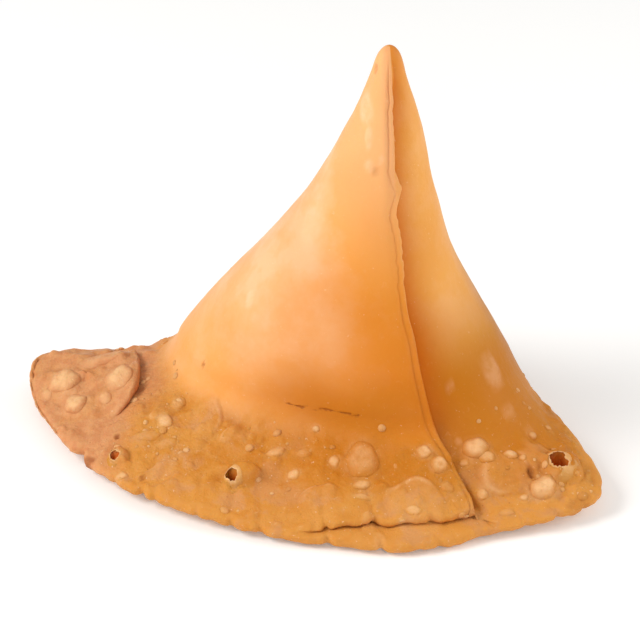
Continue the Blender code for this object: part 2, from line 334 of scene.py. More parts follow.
def cone_point(depth, turn):
    """Points on the cone at a depth below the tip, turn degrees clockwise from the seam."""
    depth = depth + np.zeros_like(turn)
    middle = through(np.sqrt(CONE[:, 0]), CONE[:, 1:], np.sqrt(np.clip(depth, 0, None)))
    x, y, left, right, front, back = np.moveaxis(middle, -1, 0)
    near = np.clip(1 - from_seam(turn) / TWIST_SPREAD, 0, 1)
    twist = through(TWIST[:, 0], TWIST[:, 1], np.clip(depth, 0, 78)) * near ** 2 * (3 - 2 * near)
    bearing = np.radians(SEAM_BEARING - turn - twist)
    east, north = np.cos(bearing), np.sin(bearing)
    power = 2 / SQUARENESS
    x = x + np.where(east > 0, right, left) * np.sign(east) * np.abs(east) ** power
    y = y + np.where(north > 0, back, front) * np.sign(north) * np.abs(north) ** power
    return np.stack([x, y, HEIGHT - depth], -1)


def lip_of(turn, lap_share, seam_distance):
    """The lap's height over the hem at the rim, and its setback, which rounds its lower corner."""
    share = np.interp(turn, LIP[:, 0], LIP[:, 1], period=360)
    setback = np.interp(turn, LIP[:, 0], LIP[:, 2], period=360)
    inside = np.clip(CORNER_RADIUS - seam_distance, 0, CORNER_RADIUS)
    rounding = CORNER_RADIUS - np.sqrt(CORNER_RADIUS ** 2 - inside ** 2)
    return LAP * share * lap_share, setback + rounding


def rim_profile(lap, setback, thickness, slope):
    """Points round the rim: outward from the hem's edge, and up from the hem's top, a row for each point."""
    one = np.ones_like(lap)
    rounding = np.minimum(thickness, setback)
    bend = slope + (np.pi / 2 - slope) * np.array(RIM_BEND)[:, None]
    plain_out = -RIM_REACH * setback * (1 - np.sin(bend)) / (1 - np.sin(slope))
    plain_up = -0.5 * thickness * (1 - np.cos(bend) / np.cos(slope))
    lips_out = np.array([out - setback for out in LIPS_OUT] + [-0.45 * rounding, -0.1 * rounding])
    lips_up = np.array([LAP * up * one for up in LIPS_UP] + [-0.2 * rounding])
    out = mix(plain_out, lips_out, lap / LAP)
    up = mix(plain_up, lips_up, lap / LAP)
    below = ((0.0, -0.5), (-0.15, -0.85), (-0.6, -1.0))
    out = np.concatenate([out, [inward * rounding for inward, _ in below]])
    up = np.concatenate([up, [down * thickness for _, down in below]])
    return out, up


def profile_at(profile, place):
    """A profile read between its points, as a smooth curve."""
    last = len(profile) - 1
    place = min(place, last)
    i = min(int(place), last - 1)
    t = place - i
    leaving = (profile[i + 1] - profile[max(i - 1, 0)]) / 2
    arriving = (profile[min(i + 2, last)] - profile[i]) / 2
    return hermite(t, profile[i], profile[i + 1], leaving, arriving)


def row_points(row, turn, lap_share, seam_distance):
    """One row of points: row runs from 0 at the tip through the cone (to 1), the fillet (2), the brim (3),
    the rim (4) and the underside (5) to the middle of the base (6)."""
    x, y, top, thickness, crease, fillet = np.moveaxis(around(BRIM, turn), -1, 0)
    if row < 1:
        return cone_point((HEIGHT - crease - fillet) * row ** CONE_ROW_POWER, turn)
    corner = cone_point(HEIGHT - crease, turn)
    edge = np.stack([x, y, top], -1)
    span = edge - corner
    length = np.linalg.norm(span, axis=-1)
    outward = span * (1, 1, 0)
    reach = np.linalg.norm(outward, axis=-1)
    outward /= reach[:, None]
    lap, setback = lip_of(turn, lap_share, seam_distance)
    slope = np.minimum(np.arctan2(crease - top, reach), np.radians(STEEPEST_RIM))
    setback = setback + 0.4 * rough(edge, 4.5, 3) * between(reach, 4.0, 9.0)
    profile_out, profile_up = rim_profile(lap, np.minimum(setback, LIP_SHARE * reach), thickness, slope)
    brim_start = corner + span / length[:, None] * np.minimum(fillet, 0.55 * length)[:, None]
    if row < 2:
        t = row - 1
        above = cone_point(HEIGHT - crease - fillet, turn)
        return (1 - t) ** 2 * above + 2 * t * (1 - t) * corner + t * t * brim_start
    ragged = ragged_edge(edge, reach, np.mod(turn, 360.0))
    shift = outward * (ragged * between(row, 2.2, 3.0) * (1 - between(row, 4.0, 4.6)))[:, None]
    if row < 3:
        brim_end = edge + outward * profile_out[0][:, None]
        return mix(brim_start, brim_end, row - 2) + shift
    place = (row - 3) * len(profile_out)
    rim = edge + outward * profile_at(profile_out, place)[:, None] + shift
    rim[:, 2] += profile_at(profile_up, place)
    if row < 4:
        return rim
    foot = cone_point(HEIGHT, turn) * (1, 1, 0)
    middle = np.array([*BASE_CENTRE, 0.0])
    base_edge = mix(foot, middle, UNDERSIDE_INSET)
    if row < 5:
        t = row - 4
        inner = mix(rim, base_edge, t)
        inner[:, 2] = rim[:, 2] * (1 - t) ** 2
        return inner
    return mix(base_edge, middle, row - 5)


def ragged_edge(edge, reach, turn):
    """How far the hem's edge stands out from its smooth line, where there is a brim."""
    broad = 0.45 * rough(edge, 9.0, 1)
    notched = -0.55 * np.abs(rough(edge, 3.6, 2)) + 0.22 * rough(edge, 1.5, 4)
    for place, depth, half in NOTCHES:
        notched -= depth * bell(turn - place, half)
    return (broad + notched) * between(reach, 2.0, 8.0)


def columns():
    """The columns of points: kind, place and the share of the lap that each carries. The free edge's
    columns are placed in millimetres, those of the strip beside it by share, and the rest in degrees."""
    front = np.arange(SEAM_STRIP, BACK[0], FRONT_STEP)
    back = np.arange(BACK[0], BACK[1], BACK_STEP)
    right = np.arange(BACK[1], 360 - SEAM_STRIP + 0.1, RIGHT_STEP)
    strip = (np.arange(STRIP_COLUMNS) + 0.6) / (STRIP_COLUMNS + 0.6)
    made = [("edge", distance, share) for distance, share in FREE_EDGE]
    made += [("strip", place, 1.0) for place in strip]
    made += [("turn", turn, 1.0 if turn < 180 else 0.0) for turn in np.concatenate([front, back, right])]
    made += [("strip", -place, 0.0) for place in strip[::-1]]
    return made


def free_edge_places(row, height):
    """The free edge's columns in this row, in millimetres, with its bulges, waves and frays."""
    folded = np.array([place for place, _ in FREE_EDGE])
    carried = np.array([share for _, share in FREE_EDGE])
    plain = np.linspace(folded[0], folded[-1], len(folded))
    here = np.array([[3.0, 5.0, height]])
    out = sum(rise * bell(height - middle, half) for middle, half, rise in EDGE_BULGES)
    out -= CORNER_ROUNDING * between(row, 2.72, 3.15) ** 2
    out += EDGE_WAVE * rough(here, 7.0, 5)[0] * (1 - between(row, 2.6, 3.0))
    frayed = between(height, FRAYED[0] - 4, FRAYED[0]) * (1 - between(height, FRAYED[1], FRAYED[1] + 2))
    out += FRAY * frayed * rough(here, 1.3, 6)[0]
    folded = folded - out * between(carried, 0.2, 0.34) * (1 - 0.6 * between(carried, 0.87, 1.0))
    opened = between(HEIGHT - height, *FOLDED_FROM) * (1 - between(row, 3.2, 3.42))
    return mix(plain, folded, opened)


def turns_at(row, made):
    """Each column's turn in this row, and its distance from the seam in millimetres."""
    ends = row_points(row, np.array([-1.0, 1.0]), np.zeros(2), np.full(2, 99.0))
    per_degree = max(np.linalg.norm(ends[1] - ends[0]) / 2, 1e-6)
    strip = min(max(2 * STEP_REACH / per_degree, SEAM_STRIP), WIDEST_STRIP)
    reach = min(STEP_REACH, 0.5 * strip * per_degree)
    squeeze = (180 - strip) / (180 - SEAM_STRIP)
    places = free_edge_places(row, ends[:, 2].mean()) * reach / STEP_REACH / per_degree
    turn = []
    for i, (kind, value, _) in enumerate(made):
        if kind == "edge":
            turn.append(places[i])
        elif kind == "strip":
            turn.append(np.sign(value) * mix(reach / per_degree, strip, abs(value)))
        else:
            turn.append(180 + (value - 180) * squeeze)
    turn = np.array(turn)
    return turn, from_seam(turn) * per_degree


def row_numbers():
    """The numbers of every row of points, without the two poles."""
    rows = []
    for stage, count in enumerate(ROWS.values()):
        rows += [stage + i / count for i in range(count)]
    return np.array(rows[1:])


def lap_relief(row, depth, share, distance, turn):
    """How far the lap stands out over the cone, and how far the inner panel dips beside it."""
    on_brim = ease(row - 1.6)
    lip = LAP * np.interp(turn, LIP[:, 0], LIP[:, 1], period=360)
    on_cone = LAP * bell(distance, LAP_FADE) * ease((LAP_SPREAD - turn) / LAP_SPREAD)
    proud = mix(on_cone, lip, on_brim)
    dip = -VALLEY * bell(distance, VALLEY_FADE) * (1 - on_brim)
    return mix(dip, proud, share) * ease(depth / TIP_FADE)


class Grid:
    """The crust's points before any fine relief, in rows and columns, with what the detail needs to know."""

    def __init__(self):
        made = columns()
        rows = row_numbers()
        self.share = np.array([column[2] for column in made])
        points, raised, turns, distances = [], [], [], []
        for row in rows:
            turn, distance = turns_at(row, made)
            point, up = self.one_row(row, turn, distance)
            points.append(point)
            raised.append(up)
            turns.append(turn)
            distances.append(distance)
        self.points = np.array(points) - CENTRE
        self.raised = np.array(raised)
        self.turn = np.array(turns)
        self.distance = np.array(distances)
        self.row = np.repeat(rows[:, None], len(made), 1)
        self.lapped = np.repeat(self.share[None, :] > 0.25, len(rows), 0)
        self.height = self.points[..., 2].copy()

    def one_row(self, row, turn, distance):
        """A row's points with the lap raised, and the direction in which relief stands up from each."""
        step = 1e-3
        here = row_points(row, turn, self.share, distance)
        if row > 4:
            return here, np.tile((0.0, 0.0, -1.0), (len(here), 1))
        below = row_points(row + step, turn, self.share, distance)
        down = below - row_points(max(row - step, 0), turn, self.share, distance)
        ahead, behind = (row_points(row, turn + side, self.share, distance) for side in (1, -1))
        normal = unit(np.cross(ahead - behind, down))
        raised = unit(mix(normal, np.array([0, 0, 1.0]), ease(row - 2)))
        if row < 3:
            here = here + raised * lap_relief(row, HEIGHT - here[:, 2], self.share, distance, turn)[:, None]
        return here, raised


# ---------------------------------------------------------------- blisters, pits and mounds

# Each blister: x, y, z, half its width across and up the slope, lean in degrees, rise, how pale it is
CORNER_BLISTERS = (
    (-46.7, -7.5, 7.9, 3.1, 2.7, 0, 1.1, 0.8),
    (-42.2, -12.2, 6.5, 2.2, 2.4, 0, 1.3, 0.9),
    (-35.2, -6.4, 8.8, 2.9, 3.0, 0, 1.1, 0.75),
    (-36.6, -11.0, 7.8, 1.3, 1.2, 0, 0.6, 0.5),
    (-41.0, -0.6, 8.6, 4.8, 1.9, 5, 0.9, 0.3),
    (-49.0, -9.4, 4.8, 1.2, 1.4, 0, 0.4, 0.3),
)
BLISTERS = (
    # on the left of the brim
    (-25.9, -27.9, 4.0, 1.2, 0.9, 0, 0.4, 0.7),
    (-22.6, -15.6, 8.3, 1.5, 1.6, 0, 0.6, 0.7),
    (-22.0, -11.0, 9.9, 1.4, 1.6, 0, 0.5, 0.35),
    (-24.4, -18.9, 6.9, 2.2, 1.3, 0, 0.5, 0.2),
    (-20.6, -20.0, 7.1, 2.0, 1.2, 10, 0.4, 0.2),
    # in the middle
    (-0.5, -18.9, 9.6, 1.8, 1.2, 15, 0.7, 0.5),
    (3.8, -22.5, 8.3, 1.3, 1.0, 0, 0.6, 1.0),
    (5.5, -13.8, 12.0, 0.8, 0.6, 0, 0.3, 0.7),
    (4.4, -17.8, 9.9, 1.4, 1.1, 0, 0.35, 0.25),
    (10.5, -18.8, 9.6, 1.1, 1.2, 0, 0.45, 0.75),
    (15.3, -17.9, 11.0, 2.9, 3.9, 0, 1.2, 0.35),
    (16.7, -21.7, 7.6, 1.6, 0.9, 5, 0.5, 0.6),
    (17.4, -23.6, 6.4, 1.8, 0.7, 0, 0.3, 0.4),
    # on the lap's lower corner
    (25.2, -13.0, 10.9, 1.3, 1.3, 0, 0.8, 0.85),
    (28.2, -13.8, 9.5, 1.4, 1.5, 0, 0.9, 0.7),
    (26.6, -22.9, 5.5, 1.4, 0.9, 0, 0.5, 0.6),
    (25.2, -25.0, 4.3, 0.7, 0.6, 0, 0.3, 1.0),
    # on the right panel and its end of the brim
    (33.1, -7.7, 10.7, 2.3, 2.1, 0, 1.6, 0.7),
    (35.2, -8.3, 9.7, 1.5, 1.2, 0, 0.9, 0.6),
    (38.7, -5.7, 9.1, 1.4, 1.1, 0, 0.8, 0.65),
    (31.6, -10.1, 8.2, 1.0, 0.8, 0, 0.35, 0.3),
    (36.0, -13.4, 4.8, 1.1, 1.1, 0, 0.7, 0.5),
    (40.9, 0.5, 9.8, 0.9, 0.8, 0, 0.5, 0.6),
    (42.5, 4.7, 9.1, 0.8, 0.6, 0, 0.3, 0.4),
    (41.1, -5.7, 8.2, 0.7, 0.8, 0, 0.4, 0.6),
    (45.6, -9.7, 6.6, 2.5, 2.1, 25, 1.6, 1.0),
    (43.0, -11.7, 4.8, 0.8, 0.6, 0, 0.35, 0.7),
    (41.0, -15.4, 4.0, 1.5, 0.8, 10, 0.5, 0.2),
    (30.5, -16.5, 7.2, 1.2, 1.0, 0, 0.4, 0.2),
)

# Swellings that are crisp on one side and run out on the other. The last number is that side's direction,
# in degrees from the right towards the top
MOUNDS = (
    (26.2, -21.4, 6.5, 4.7, 4.4, 0, 1.0, 0.15, 100),
    (43.0, -4.2, 8.4, 2.6, 3.6, 0, 1.1, 0.15, 150),
    (39.2, -9.7, 7.8, 4.4, 3.8, 0, 0.8, 0.1, 200),
    (-14.9, -14.4, 10.7, 2.6, 4.2, 0, 0.8, 0.1, 0),
    (19.9, -27.1, 3.7, 1.4, 1.2, 0, 0.5, 0.2, 90),
    (22.0, -28.6, 3.2, 1.4, 1.2, 0, 0.5, 0.2, 90),
    (-24.0, -13.5, 9.0, 2.8, 1.6, 20, 0.6, 0.1, 200),
    (-8.8, -16.8, 9.9, 3.2, 1.7, 15, 0.6, 0.1, 160),
    (-19.0, -25.5, 5.6, 3.0, 1.5, 10, 0.5, 0.1, 90),
    (10.0, -25.5, 6.5, 3.4, 1.6, 0, 0.5, 0.1, 90),
)

# Spots that are paler without standing up much
PALE_SPOTS = (
    (8.0, 3.8, 66.6, 1.9, 3.2, 10, 0.12, 0.6),
    (9.7, 1.1, 62.3, 0.8, 2.4, 0, 0.12, 0.45),
    (10.6, -0.2, 58.0, 1.0, 1.2, 0, 0.15, 0.4),
    (12.4, 0.4, 59.2, 0.5, 1.0, 0, 0.12, 0.4),
    (0.0, -2.6, 46.0, 2.6, 4.5, -20, 0.1, 0.25),
    (-10.0, -5.2, 30.8, 0.9, 1.8, -10, 0.12, 0.45),
    (32.5, 4.0, 18.3, 2.4, 3.0, 8, 0.45, 0.28),
    (26.9, -3.5, 19.2, 1.0, 1.0, 0, 0.15, 0.16),
    (36.1, 1.2, 13.3, 1.9, 1.5, 0, 0.3, 0.22),
    (29.2, -7.4, 10.4, 0.6, 0.8, 0, 0.12, 0.4),
    (14.7, -18.0, 11.8, 3.4, 4.2, 0, 0.3, 0.2),
)

# Hollows on the turned corner, and those elsewhere
# x, y, z, half their width across and up the slope, lean, depth, how dark they are
CORNER_HOLLOWS = (
    (-36.9, -10.4, 8.0, 0.35, 0.35, 0, 0.5, 0.8),
    (-46.9, -6.0, 8.0, 0.25, 0.25, 0, 0.3, 0.7),
    (-39.0, -8.8, 8.0, 2.0, 1.2, 20, 0.35, 0.1),
)
HOLLOWS = (
    (-30.4, -19.1, 5.9, 0.45, 0.6, 0, 0.4, 0.8),
    (-21.8, -28.0, 4.3, 0.5, 0.6, 0, 0.3, 0.6),
    (52.2, -8.8, 4.6, 2.6, 1.0, 35, 0.6, 0.22),
    (-34.4, -25.0, 3.6, 1.8, 0.7, -25, 0.4, 0.6),
    (8.9, 6.2, 72.9, 0.7, 0.9, 0, 0.3, 0.2),
    (12.0, -0.7, 57.1, 0.6, 0.9, -20, 0.3, 0.12),
    (-18.3, -7.2, 16.5, 0.3, 0.7, -15, 0.25, 0.5),
    (42.9, -7.6, 7.5, 0.5, 1.4, 20, 0.6, 0.5),
)


# Burst blisters: x, y, z, half their width across and up the slope, lean, rise, then the hole's middle across
# and up and its half widths, as shares of the blister's own, and how ragged its edge is
BURSTS = {
    "burst_blister_right": (48.0, -3.8, 8.4, 4.0, 3.4, -8, 2.7, -0.22, 0.0, 0.46, 0.56, 0.30),
    "burst_blister_front": (-3.9, -25.1, 8.6, 3.5, 2.1, 28, 2.6, -0.55, 0.0, 0.30, 0.62, 0.14),
    "burst_blister_left": (-28.2, -24.2, 4.8, 2.0, 2.0, 20, 1.4, -0.25, 0.05, 0.45, 0.55, 0.25),
}
FAR_OFF = 9.0  # a distance that no detail reaches, in its own radii
CAVITY = 0.3  # how far below the crust the hole under it goes
SHELL = 0.22  # thickness of a blister's skin


def nearest_to(points, x, y, z):
    apart = np.linalg.norm(points - np.array([x, y, z]), axis=-1)
    return np.unravel_index(np.argmin(apart), apart.shape)


def leaned_frame(normal, lean):
    """On a surface, a spot's own directions across and up. A lean of 0 is level from the front right."""
    across = np.array(to_right)
    level = unit(across - normal * (across @ normal))
    upward = np.cross(normal, level)
    east, north = math.cos(math.radians(lean)), math.sin(math.radians(lean))
    return level * east + upward * north, upward * east - level * north


def burst_dome(apart):
    """A burst blister's height, apart radii from its middle: steep sides and a soft foot."""
    return 0.92 * np.sqrt(np.clip(1 - apart ** 3.0, 0, 1)) + 0.08 * between(apart, 1.5, 0.8)


class Skin:
    """Points on the outer surface, displaced along their own directions as details are added."""

    def __init__(self, points, raised, lapped, open_rows):
        self.points = points
        self.plain = points
        self.raised = raised
        self.lapped = lapped
        self.open_rows = open_rows
        self.pale = np.zeros(points.shape[:-1])
        self.dark = np.zeros(points.shape[:-1])
        self.inside = np.zeros(points.shape[:-1])

    def spot(self, x, y, z, across, along, lean):
        """Distance from a spot's middle in its own radii, for points on its own side of the seam."""
        nearest = nearest_to(self.points, x, y, z)
        middle = self.points[nearest]
        normal = self.raised[nearest]
        right, up = leaned_frame(normal, lean)
        offset = self.points - middle
        u = offset @ right / across
        v = offset @ up / along
        deep = offset @ normal / (2 * max(across, along))
        return np.where(self.beside(nearest), np.sqrt(u * u + v * v + deep * deep), FAR_OFF)

    def beside(self, nearest):
        """Which points are on the upper side, and on the same side of the seam as this one."""
        return (self.lapped == self.lapped[nearest]) & self.open_rows

    def raise_by(self, height):
        self.points = self.points + self.raised * height[..., None]

    def swell(self, x, y, z, across, along, lean, rise, pale):
        """The soft swelling round a blister's foot."""
        apart = self.spot(x, y, z, across, along, lean)
        self.raise_by(0.22 * rise * between(apart, 1.5, 0.8))
        self.pale = np.maximum(self.pale, 0.25 * pale * between(apart, 1.5, 0.9))

    def mound(self, x, y, z, across, along, lean, rise, pale, crisp_side):
        """A swelling with a crisp edge on one side, which runs out on the other."""
        here = self.beside(nearest_to(self.points, x, y, z))
        u, v = self.across_up(x, y, z, across, along, lean)
        crisp = math.radians(crisp_side)
        toward = u * math.cos(crisp) + v * math.sin(crisp)
        beside = v * math.cos(crisp) - u * math.sin(crisp)
        apart = np.hypot(beside, np.where(toward < 0, 0.55 * toward, toward))
        apart = np.where(here, apart * (1 + 0.2 * rough(self.points, 4.0, 9)), FAR_OFF)
        self.raise_by(rise * np.sqrt(np.clip(1 - apart ** 3, 0, 1)) * between(toward, -1.6, 0.2))
        rim = bell(apart - 0.84, 0.1) * between(toward, 0.1, 0.7)
        self.pale = np.maximum(self.pale, np.maximum(pale * between(apart, 1, 0.7), 0.45 * rim))

    def pale_spot(self, x, y, z, across, along, lean, rise, pale):
        apart = self.spot(x, y, z, across, along, lean) * (1 + 0.25 * rough(self.points, 3.0, 10))
        self.raise_by(rise * between(apart, 1.1, 0.3))
        self.pale = np.maximum(self.pale, pale * between(apart, 1.15, 0.65))

    def burst(self, burst):
        """A blister with a hole sunk into it. The thin skin round the hole is a piece of its own."""
        x, y, z, across, along, lean, rise, *hole = burst
        here = self.beside(nearest_to(self.points, x, y, z))
        self.raise_by(rise * burst_dome(self.spot(x, y, z, across, along, lean)))
        u, v = self.across_up(x, y, z, across, along, lean)
        from_hole = np.where(here, np.hypot((u - hole[0]) / hole[2], (v - hole[1]) / hole[3]), FAR_OFF)
        self.raise_by(-(rise + CAVITY) * between(from_hole, 1.2, 0.9))
        self.inside = np.maximum(self.inside, between(from_hole, 1.15, 0.95))

    def across_up(self, x, y, z, across, along, lean):
        """Every point's place across and up a spot, in the spot's own half widths."""
        nearest = nearest_to(self.plain, x, y, z)
        right, up = leaned_frame(self.raised[nearest], lean)
        offset = self.plain - self.plain[nearest]
        return offset @ right / across, offset @ up / along

    def hollow(self, x, y, z, across, along, lean, depth, dark):
        apart = self.spot(x, y, z, across, along, lean)
        self.raise_by(-depth * between(apart, 1.25, 0.45))
        self.dark = np.maximum(self.dark, dark * between(apart, 1.3, 0.7))

    def add_details(self):
        for row in MOUNDS:
            self.mound(*row)
        for row in BLISTERS:
            self.swell(*row)
        for row in PALE_SPOTS:
            self.pale_spot(*row)
        for row in HOLLOWS:
            self.hollow(*row)
        self.plain = self.points
        for burst in BURSTS.values():
            self.burst(burst)


# ---------------------------------------------------------------- the crust

CRACK_HEIGHT = 15.8  # of the fine crack across the panel's foot
CRACK_TURNS = (22, 25, 50, 58)  # degrees round from the seam where it starts, is whole, thins and ends
NO_CRACK = 9.0  # millimetres from the crack, where there is none
LAST_OPEN_ROW = 3.9  # the rim's row at which the upper side's details end
FOOT_HEIGHT = 17.5  # of the toasted band at the panel's foot
FOOT_TURN = 32  # degrees round from the seam to the band's middle
OUTER_BEARINGS = (225, 155)  # degrees over which the panel's outer part starts, going back and to the left
SHADED_BEARINGS = (311, 285)  # degrees over which painted shade darkens the right side
# The masks of a piece that lies on the brim, away from the seam and the tip
ON_BRIM = {"brim": 1.0, "seam_mm": 60.0, "tip_mm": 68.0, "crack_mm": NO_CRACK}


def even_relief(grid):
    """The dough's own unevenness: long soft waves on the cone, and lumps and small bubbles on the brim."""
    p = grid.points
    on_brim = between(grid.row, 1.35, 2.1)
    cone = 0.42 * rough(p, 21.0, 11) + 0.14 * rough(p, 7.5, 12) + 0.035 * rough(p, 2.4, 13)
    brim = 0.64 * rough(p, 8.5, 14) + 0.58 * rough(p, 3.6, 15) + 0.26 * rough(p, 1.7, 16)
    brim += 0.58 * bubbled(p, 3.4, 17, 0.4) + 0.36 * bubbled(p, 1.9, 18, 0.35)
    fade = ease((HEIGHT - grid.height) / TIP_FADE) * (1 - between(grid.row, 4.0, 4.5))
    fade = fade * mix(1.0, 0.45, between(grid.row, 3.0, 3.4))
    return mix(cone, brim, on_brim) * fade


def bubbly_places(grid, skin, on_brim):
    """Where the small bubbles and crumbs are: in patches on the brim's upper side, and a few on the cone."""
    patches = between(rough(grid.points, 6.0, 24), -0.25, 0.35)
    crowded = 0.35 + 0.65 * between(np.abs(grid.points[..., 0] - 4), 14, 34)
    upper = between(grid.row, 3.3, 3.15)
    front = 1 - 0.85 * bell(np.mod(grid.turn, 360.0) - 215, 52)
    open_crust = upper * (1 - skin.inside) * between(grid.distance, 2.0, 3.0)
    return np.clip(on_brim * patches * crowded * front + 0.0015, 0, 1) * open_crust


def crust_masks(grid, skin):
    """The crust's colour masks, each between 0 and 1 at every point, and its line distances."""
    p = grid.points
    height = grid.height
    wander = rough(p, 9.0, 21)
    on_brim = between(grid.row + 0.25 * wander, 1.25, 2.1)
    near_seam = bell(grid.distance, 22.0)
    low = between(height, 58, 20)
    lapped = grid.lapped
    # painted shadow: the inner panel is darkened in the valley under the lap's free edge
    lap_shadow = 0.6 * bell(grid.distance, 4.2) + 0.5 * low * bell(grid.distance, 9.0)
    # on the lap, low down near the seam: partly deeper browning, partly painted shade
    toast_and_shade = np.where(lapped, 0.72 * low * near_seam, lap_shadow)
    foot = bell(height - FOOT_HEIGHT - 1.5 * wander, 5.0) * bell((grid.turn - FOOT_TURN) / 24, 1.0)
    foot = foot * (grid.row < 2.6) * lapped
    toast_and_shade = np.clip(np.maximum(toast_and_shade, 0.85 * foot) + 0.12 * wander, 0, 1) * (1 - 0.65 * on_brim)
    bearing = np.mod(grid.turn, 360.0)
    outer = between(bearing, *OUTER_BEARINGS) * (lapped | (bearing > 90))
    right_side = (1 - outer) * ~(lapped & (bearing < 90))
    # painted shade: the right side and the back, away from the key light, are darkened
    shaded = right_side * between(bearing, *SHADED_BEARINGS) * between(height, 50, 24) * (1 - 0.6 * on_brim)
    # painted shade: the lower right side, turned from the key light, is darkened to olive brown
    lower_right_shade = right_side * between(height, 36, 18) * (1 - 0.7 * on_brim)
    front = bell(grid.turn - 28, 28) * lapped + 0.9 * ~lapped * (bearing > 180) * bell(bearing - 330, 30)
    amber = front * between(grid.row + 0.25 * wander, 2.9, 2.25) * between(height - 3 * wander, 26, 17)
    edge = between(grid.row - 0.2 * wander, 2.5, 3.05) * mix(0.4, 1.0, between(p[..., 0], 10, 38))
    level = p * (1, 1, 0.3)
    cracked = CRACK_HEIGHT + 0.9 * rough(level, 3.5, 22) + 0.35 * rough(level, 1.0, 23)
    starts, whole, thins, ends = CRACK_TURNS
    present = between(grid.turn, starts, whole) * (1 - between(grid.turn, thins, ends))
    crack = np.abs(height - cracked) + NO_CRACK * (1 - present)
    left_end = between(p[..., 0] - 4 * wander, -22, -35)
    return {
        "toast_and_shade": toast_and_shade,
        "lower_right_shade": lower_right_shade,
        "brim": on_brim,
        "ruddy": left_end * on_brim,
        "pale": skin.pale,
        "dark": skin.dark,
        "inside": skin.inside,
        "amber": amber,
        "shaded": shaded,
        "outer": outer,
        "edge": edge,
        "bubbly": bubbly_places(grid, skin, on_brim),
        "crack_mm": np.where(lapped, crack, NO_CRACK),
        "lip": lapped * between(grid.distance, 6, 3),
        "seam_mm": grid.distance,
        "tip_mm": HEIGHT - height,
    }


def smooth_mesh(name, vertices, faces):
    mesh = bpy.data.meshes.new(name)
    mesh.from_pydata(vertices, [], faces)
    mesh.shade_smooth()
    return mesh


def crust_mesh(name, points, tip, middle):
    """The grid as one closed mesh, with a point at the tip and one in the middle of the base."""
    count, around_count = points.shape[:2]
    vertices = np.concatenate([points.reshape(-1, 3), [tip], [middle]]) * METRES
    top, bottom = len(vertices) - 2, len(vertices) - 1
    i, j = np.meshgrid(np.arange(count - 1), np.arange(around_count), indexing="ij")
    k = (j + 1) % around_count
    quads = np.stack([i, i, i + 1, i + 1], -1) * around_count + np.stack([j, k, k, j], -1)
    j = np.arange(around_count)
    k = (j + 1) % around_count
    last = (count - 1) * around_count
    faces = quads.reshape(-1, 4).tolist()
    faces += [(top, int(b), int(a)) for a, b in zip(j, k)]
    faces += [(last + int(a), last + int(b), bottom) for a, b in zip(j, k)]
    return smooth_mesh(name, vertices.tolist(), faces)


def brim_masks(shape):
    return {name: np.full(shape, value) for name, value in ON_BRIM.items()}


def set_masks(mesh, masks):
    """Stores each mask on the mesh's points. Points that aren't in the rows take the nearest row's value."""
    for name, values in masks.items():
        flat = np.asarray(values, float).reshape(-1)
        spare = len(mesh.vertices) - len(flat)
        flat = np.concatenate([flat, [flat[0], flat[-1]][:spare]]) if spare else flat
        mesh.attributes.new(name, "FLOAT", "POINT").data.foreach_set("value", flat.astype(np.float32))


def outward_faces(mesh):
    """Turns a closed mesh's faces round if they point in."""
    bm = bmesh.new()
    bm.from_mesh(mesh)
    bmesh.ops.recalc_face_normals(bm, faces=bm.faces)
    bm.to_mesh(mesh)
    bm.free()


def finish_piece(mesh, material):
    outward_faces(mesh)
    mesh.materials.append(material)
    return add_object(mesh.name, mesh)


def make_crust(material):
    grid = Grid()
    skin = Skin(grid.points, grid.raised, grid.lapped, grid.row < LAST_OPEN_ROW)
    skin.raise_by(even_relief(grid))
    skin.add_details()
    tip = cone_point(0.0, np.zeros(1))[0] - CENTRE
    middle = np.array([*BASE_CENTRE, 0.0]) - CENTRE
    points = skin.points
    points[..., 2] = np.maximum(points[..., 2], 0.0)
    mesh = crust_mesh("crust", points, tip, middle)
    masks = crust_masks(grid, skin)
    set_masks(mesh, masks)
    return finish_piece(mesh, material), skin, masks


# ---------------------------------------------------------------- the turned corner

# Its outline on the brim, clockwise from the back: x, y, thickness of the dough, and how free its edge is.
# Where the edge isn't free it sinks into the brim.
CORNER_OUTLINE = np.array([
    (-41.0, 7.4, 1.5, 0.3),
    (-36.4, 3.6, 1.7, 0.9),
    (-33.6, -1.6, 2.1, 1.0),
    (-31.6, -6.8, 2.3, 1.0),
    (-31.6, -11.6, 1.9, 0.9),
    (-36.0, -16.6, 1.0, 0.1),
    (-42.0, -18.6, 0.7, 0.0),
    (-48.4, -13.4, 1.0, 0.1),
    (-53.2, -8.0, 1.5, 0.8),
    (-55.6, -3.0, 2.0, 1.0),
    (-55.2, 0.8, 2.0, 1.0),
    (-50.6, 3.8, 1.7, 0.8),
])
CORNER_MIDDLE = np.array([-43.0, -5.0])
CORNER_SIDES = 300
CORNER_RINGS = 60
CORNER_SMOOTHING = 6  # times the ground under it is averaged
# Round the edge: share of the way out, share of the thickness that it stands up
CORNER_EDGE = (
    (0.945, 1.0), (0.975, 0.93), (0.993, 0.72), (1.0, 0.45), (0.996, 0.2), (0.98, 0.0), (0.95, -0.15),
)
CORNER_SINK = (0.45, 1.0)  # shares of the way out over which an edge that isn't free goes under
CORNER_DEPTH = 0.7


def closed_curve(table, count):
    """A smooth closed curve through the table's rows."""
    keys = np.arange(-len(table), 2 * len(table) + 1)
    values = table[np.mod(keys, len(table))]
    return through(keys, values, np.arange(count) * len(table) / count)


def ground_tree(*pieces):
    """The pieces' faces, for finding the ground under a detail."""
    vertices, faces = [], []
    for piece in pieces:
        first = len(vertices)
        vertices += [vertex.co.copy() for vertex in piece.data.vertices]
        faces += [[first + i for i in face.vertices] for face in piece.data.polygons]
    return BVHTree.FromPolygons(vertices, faces)


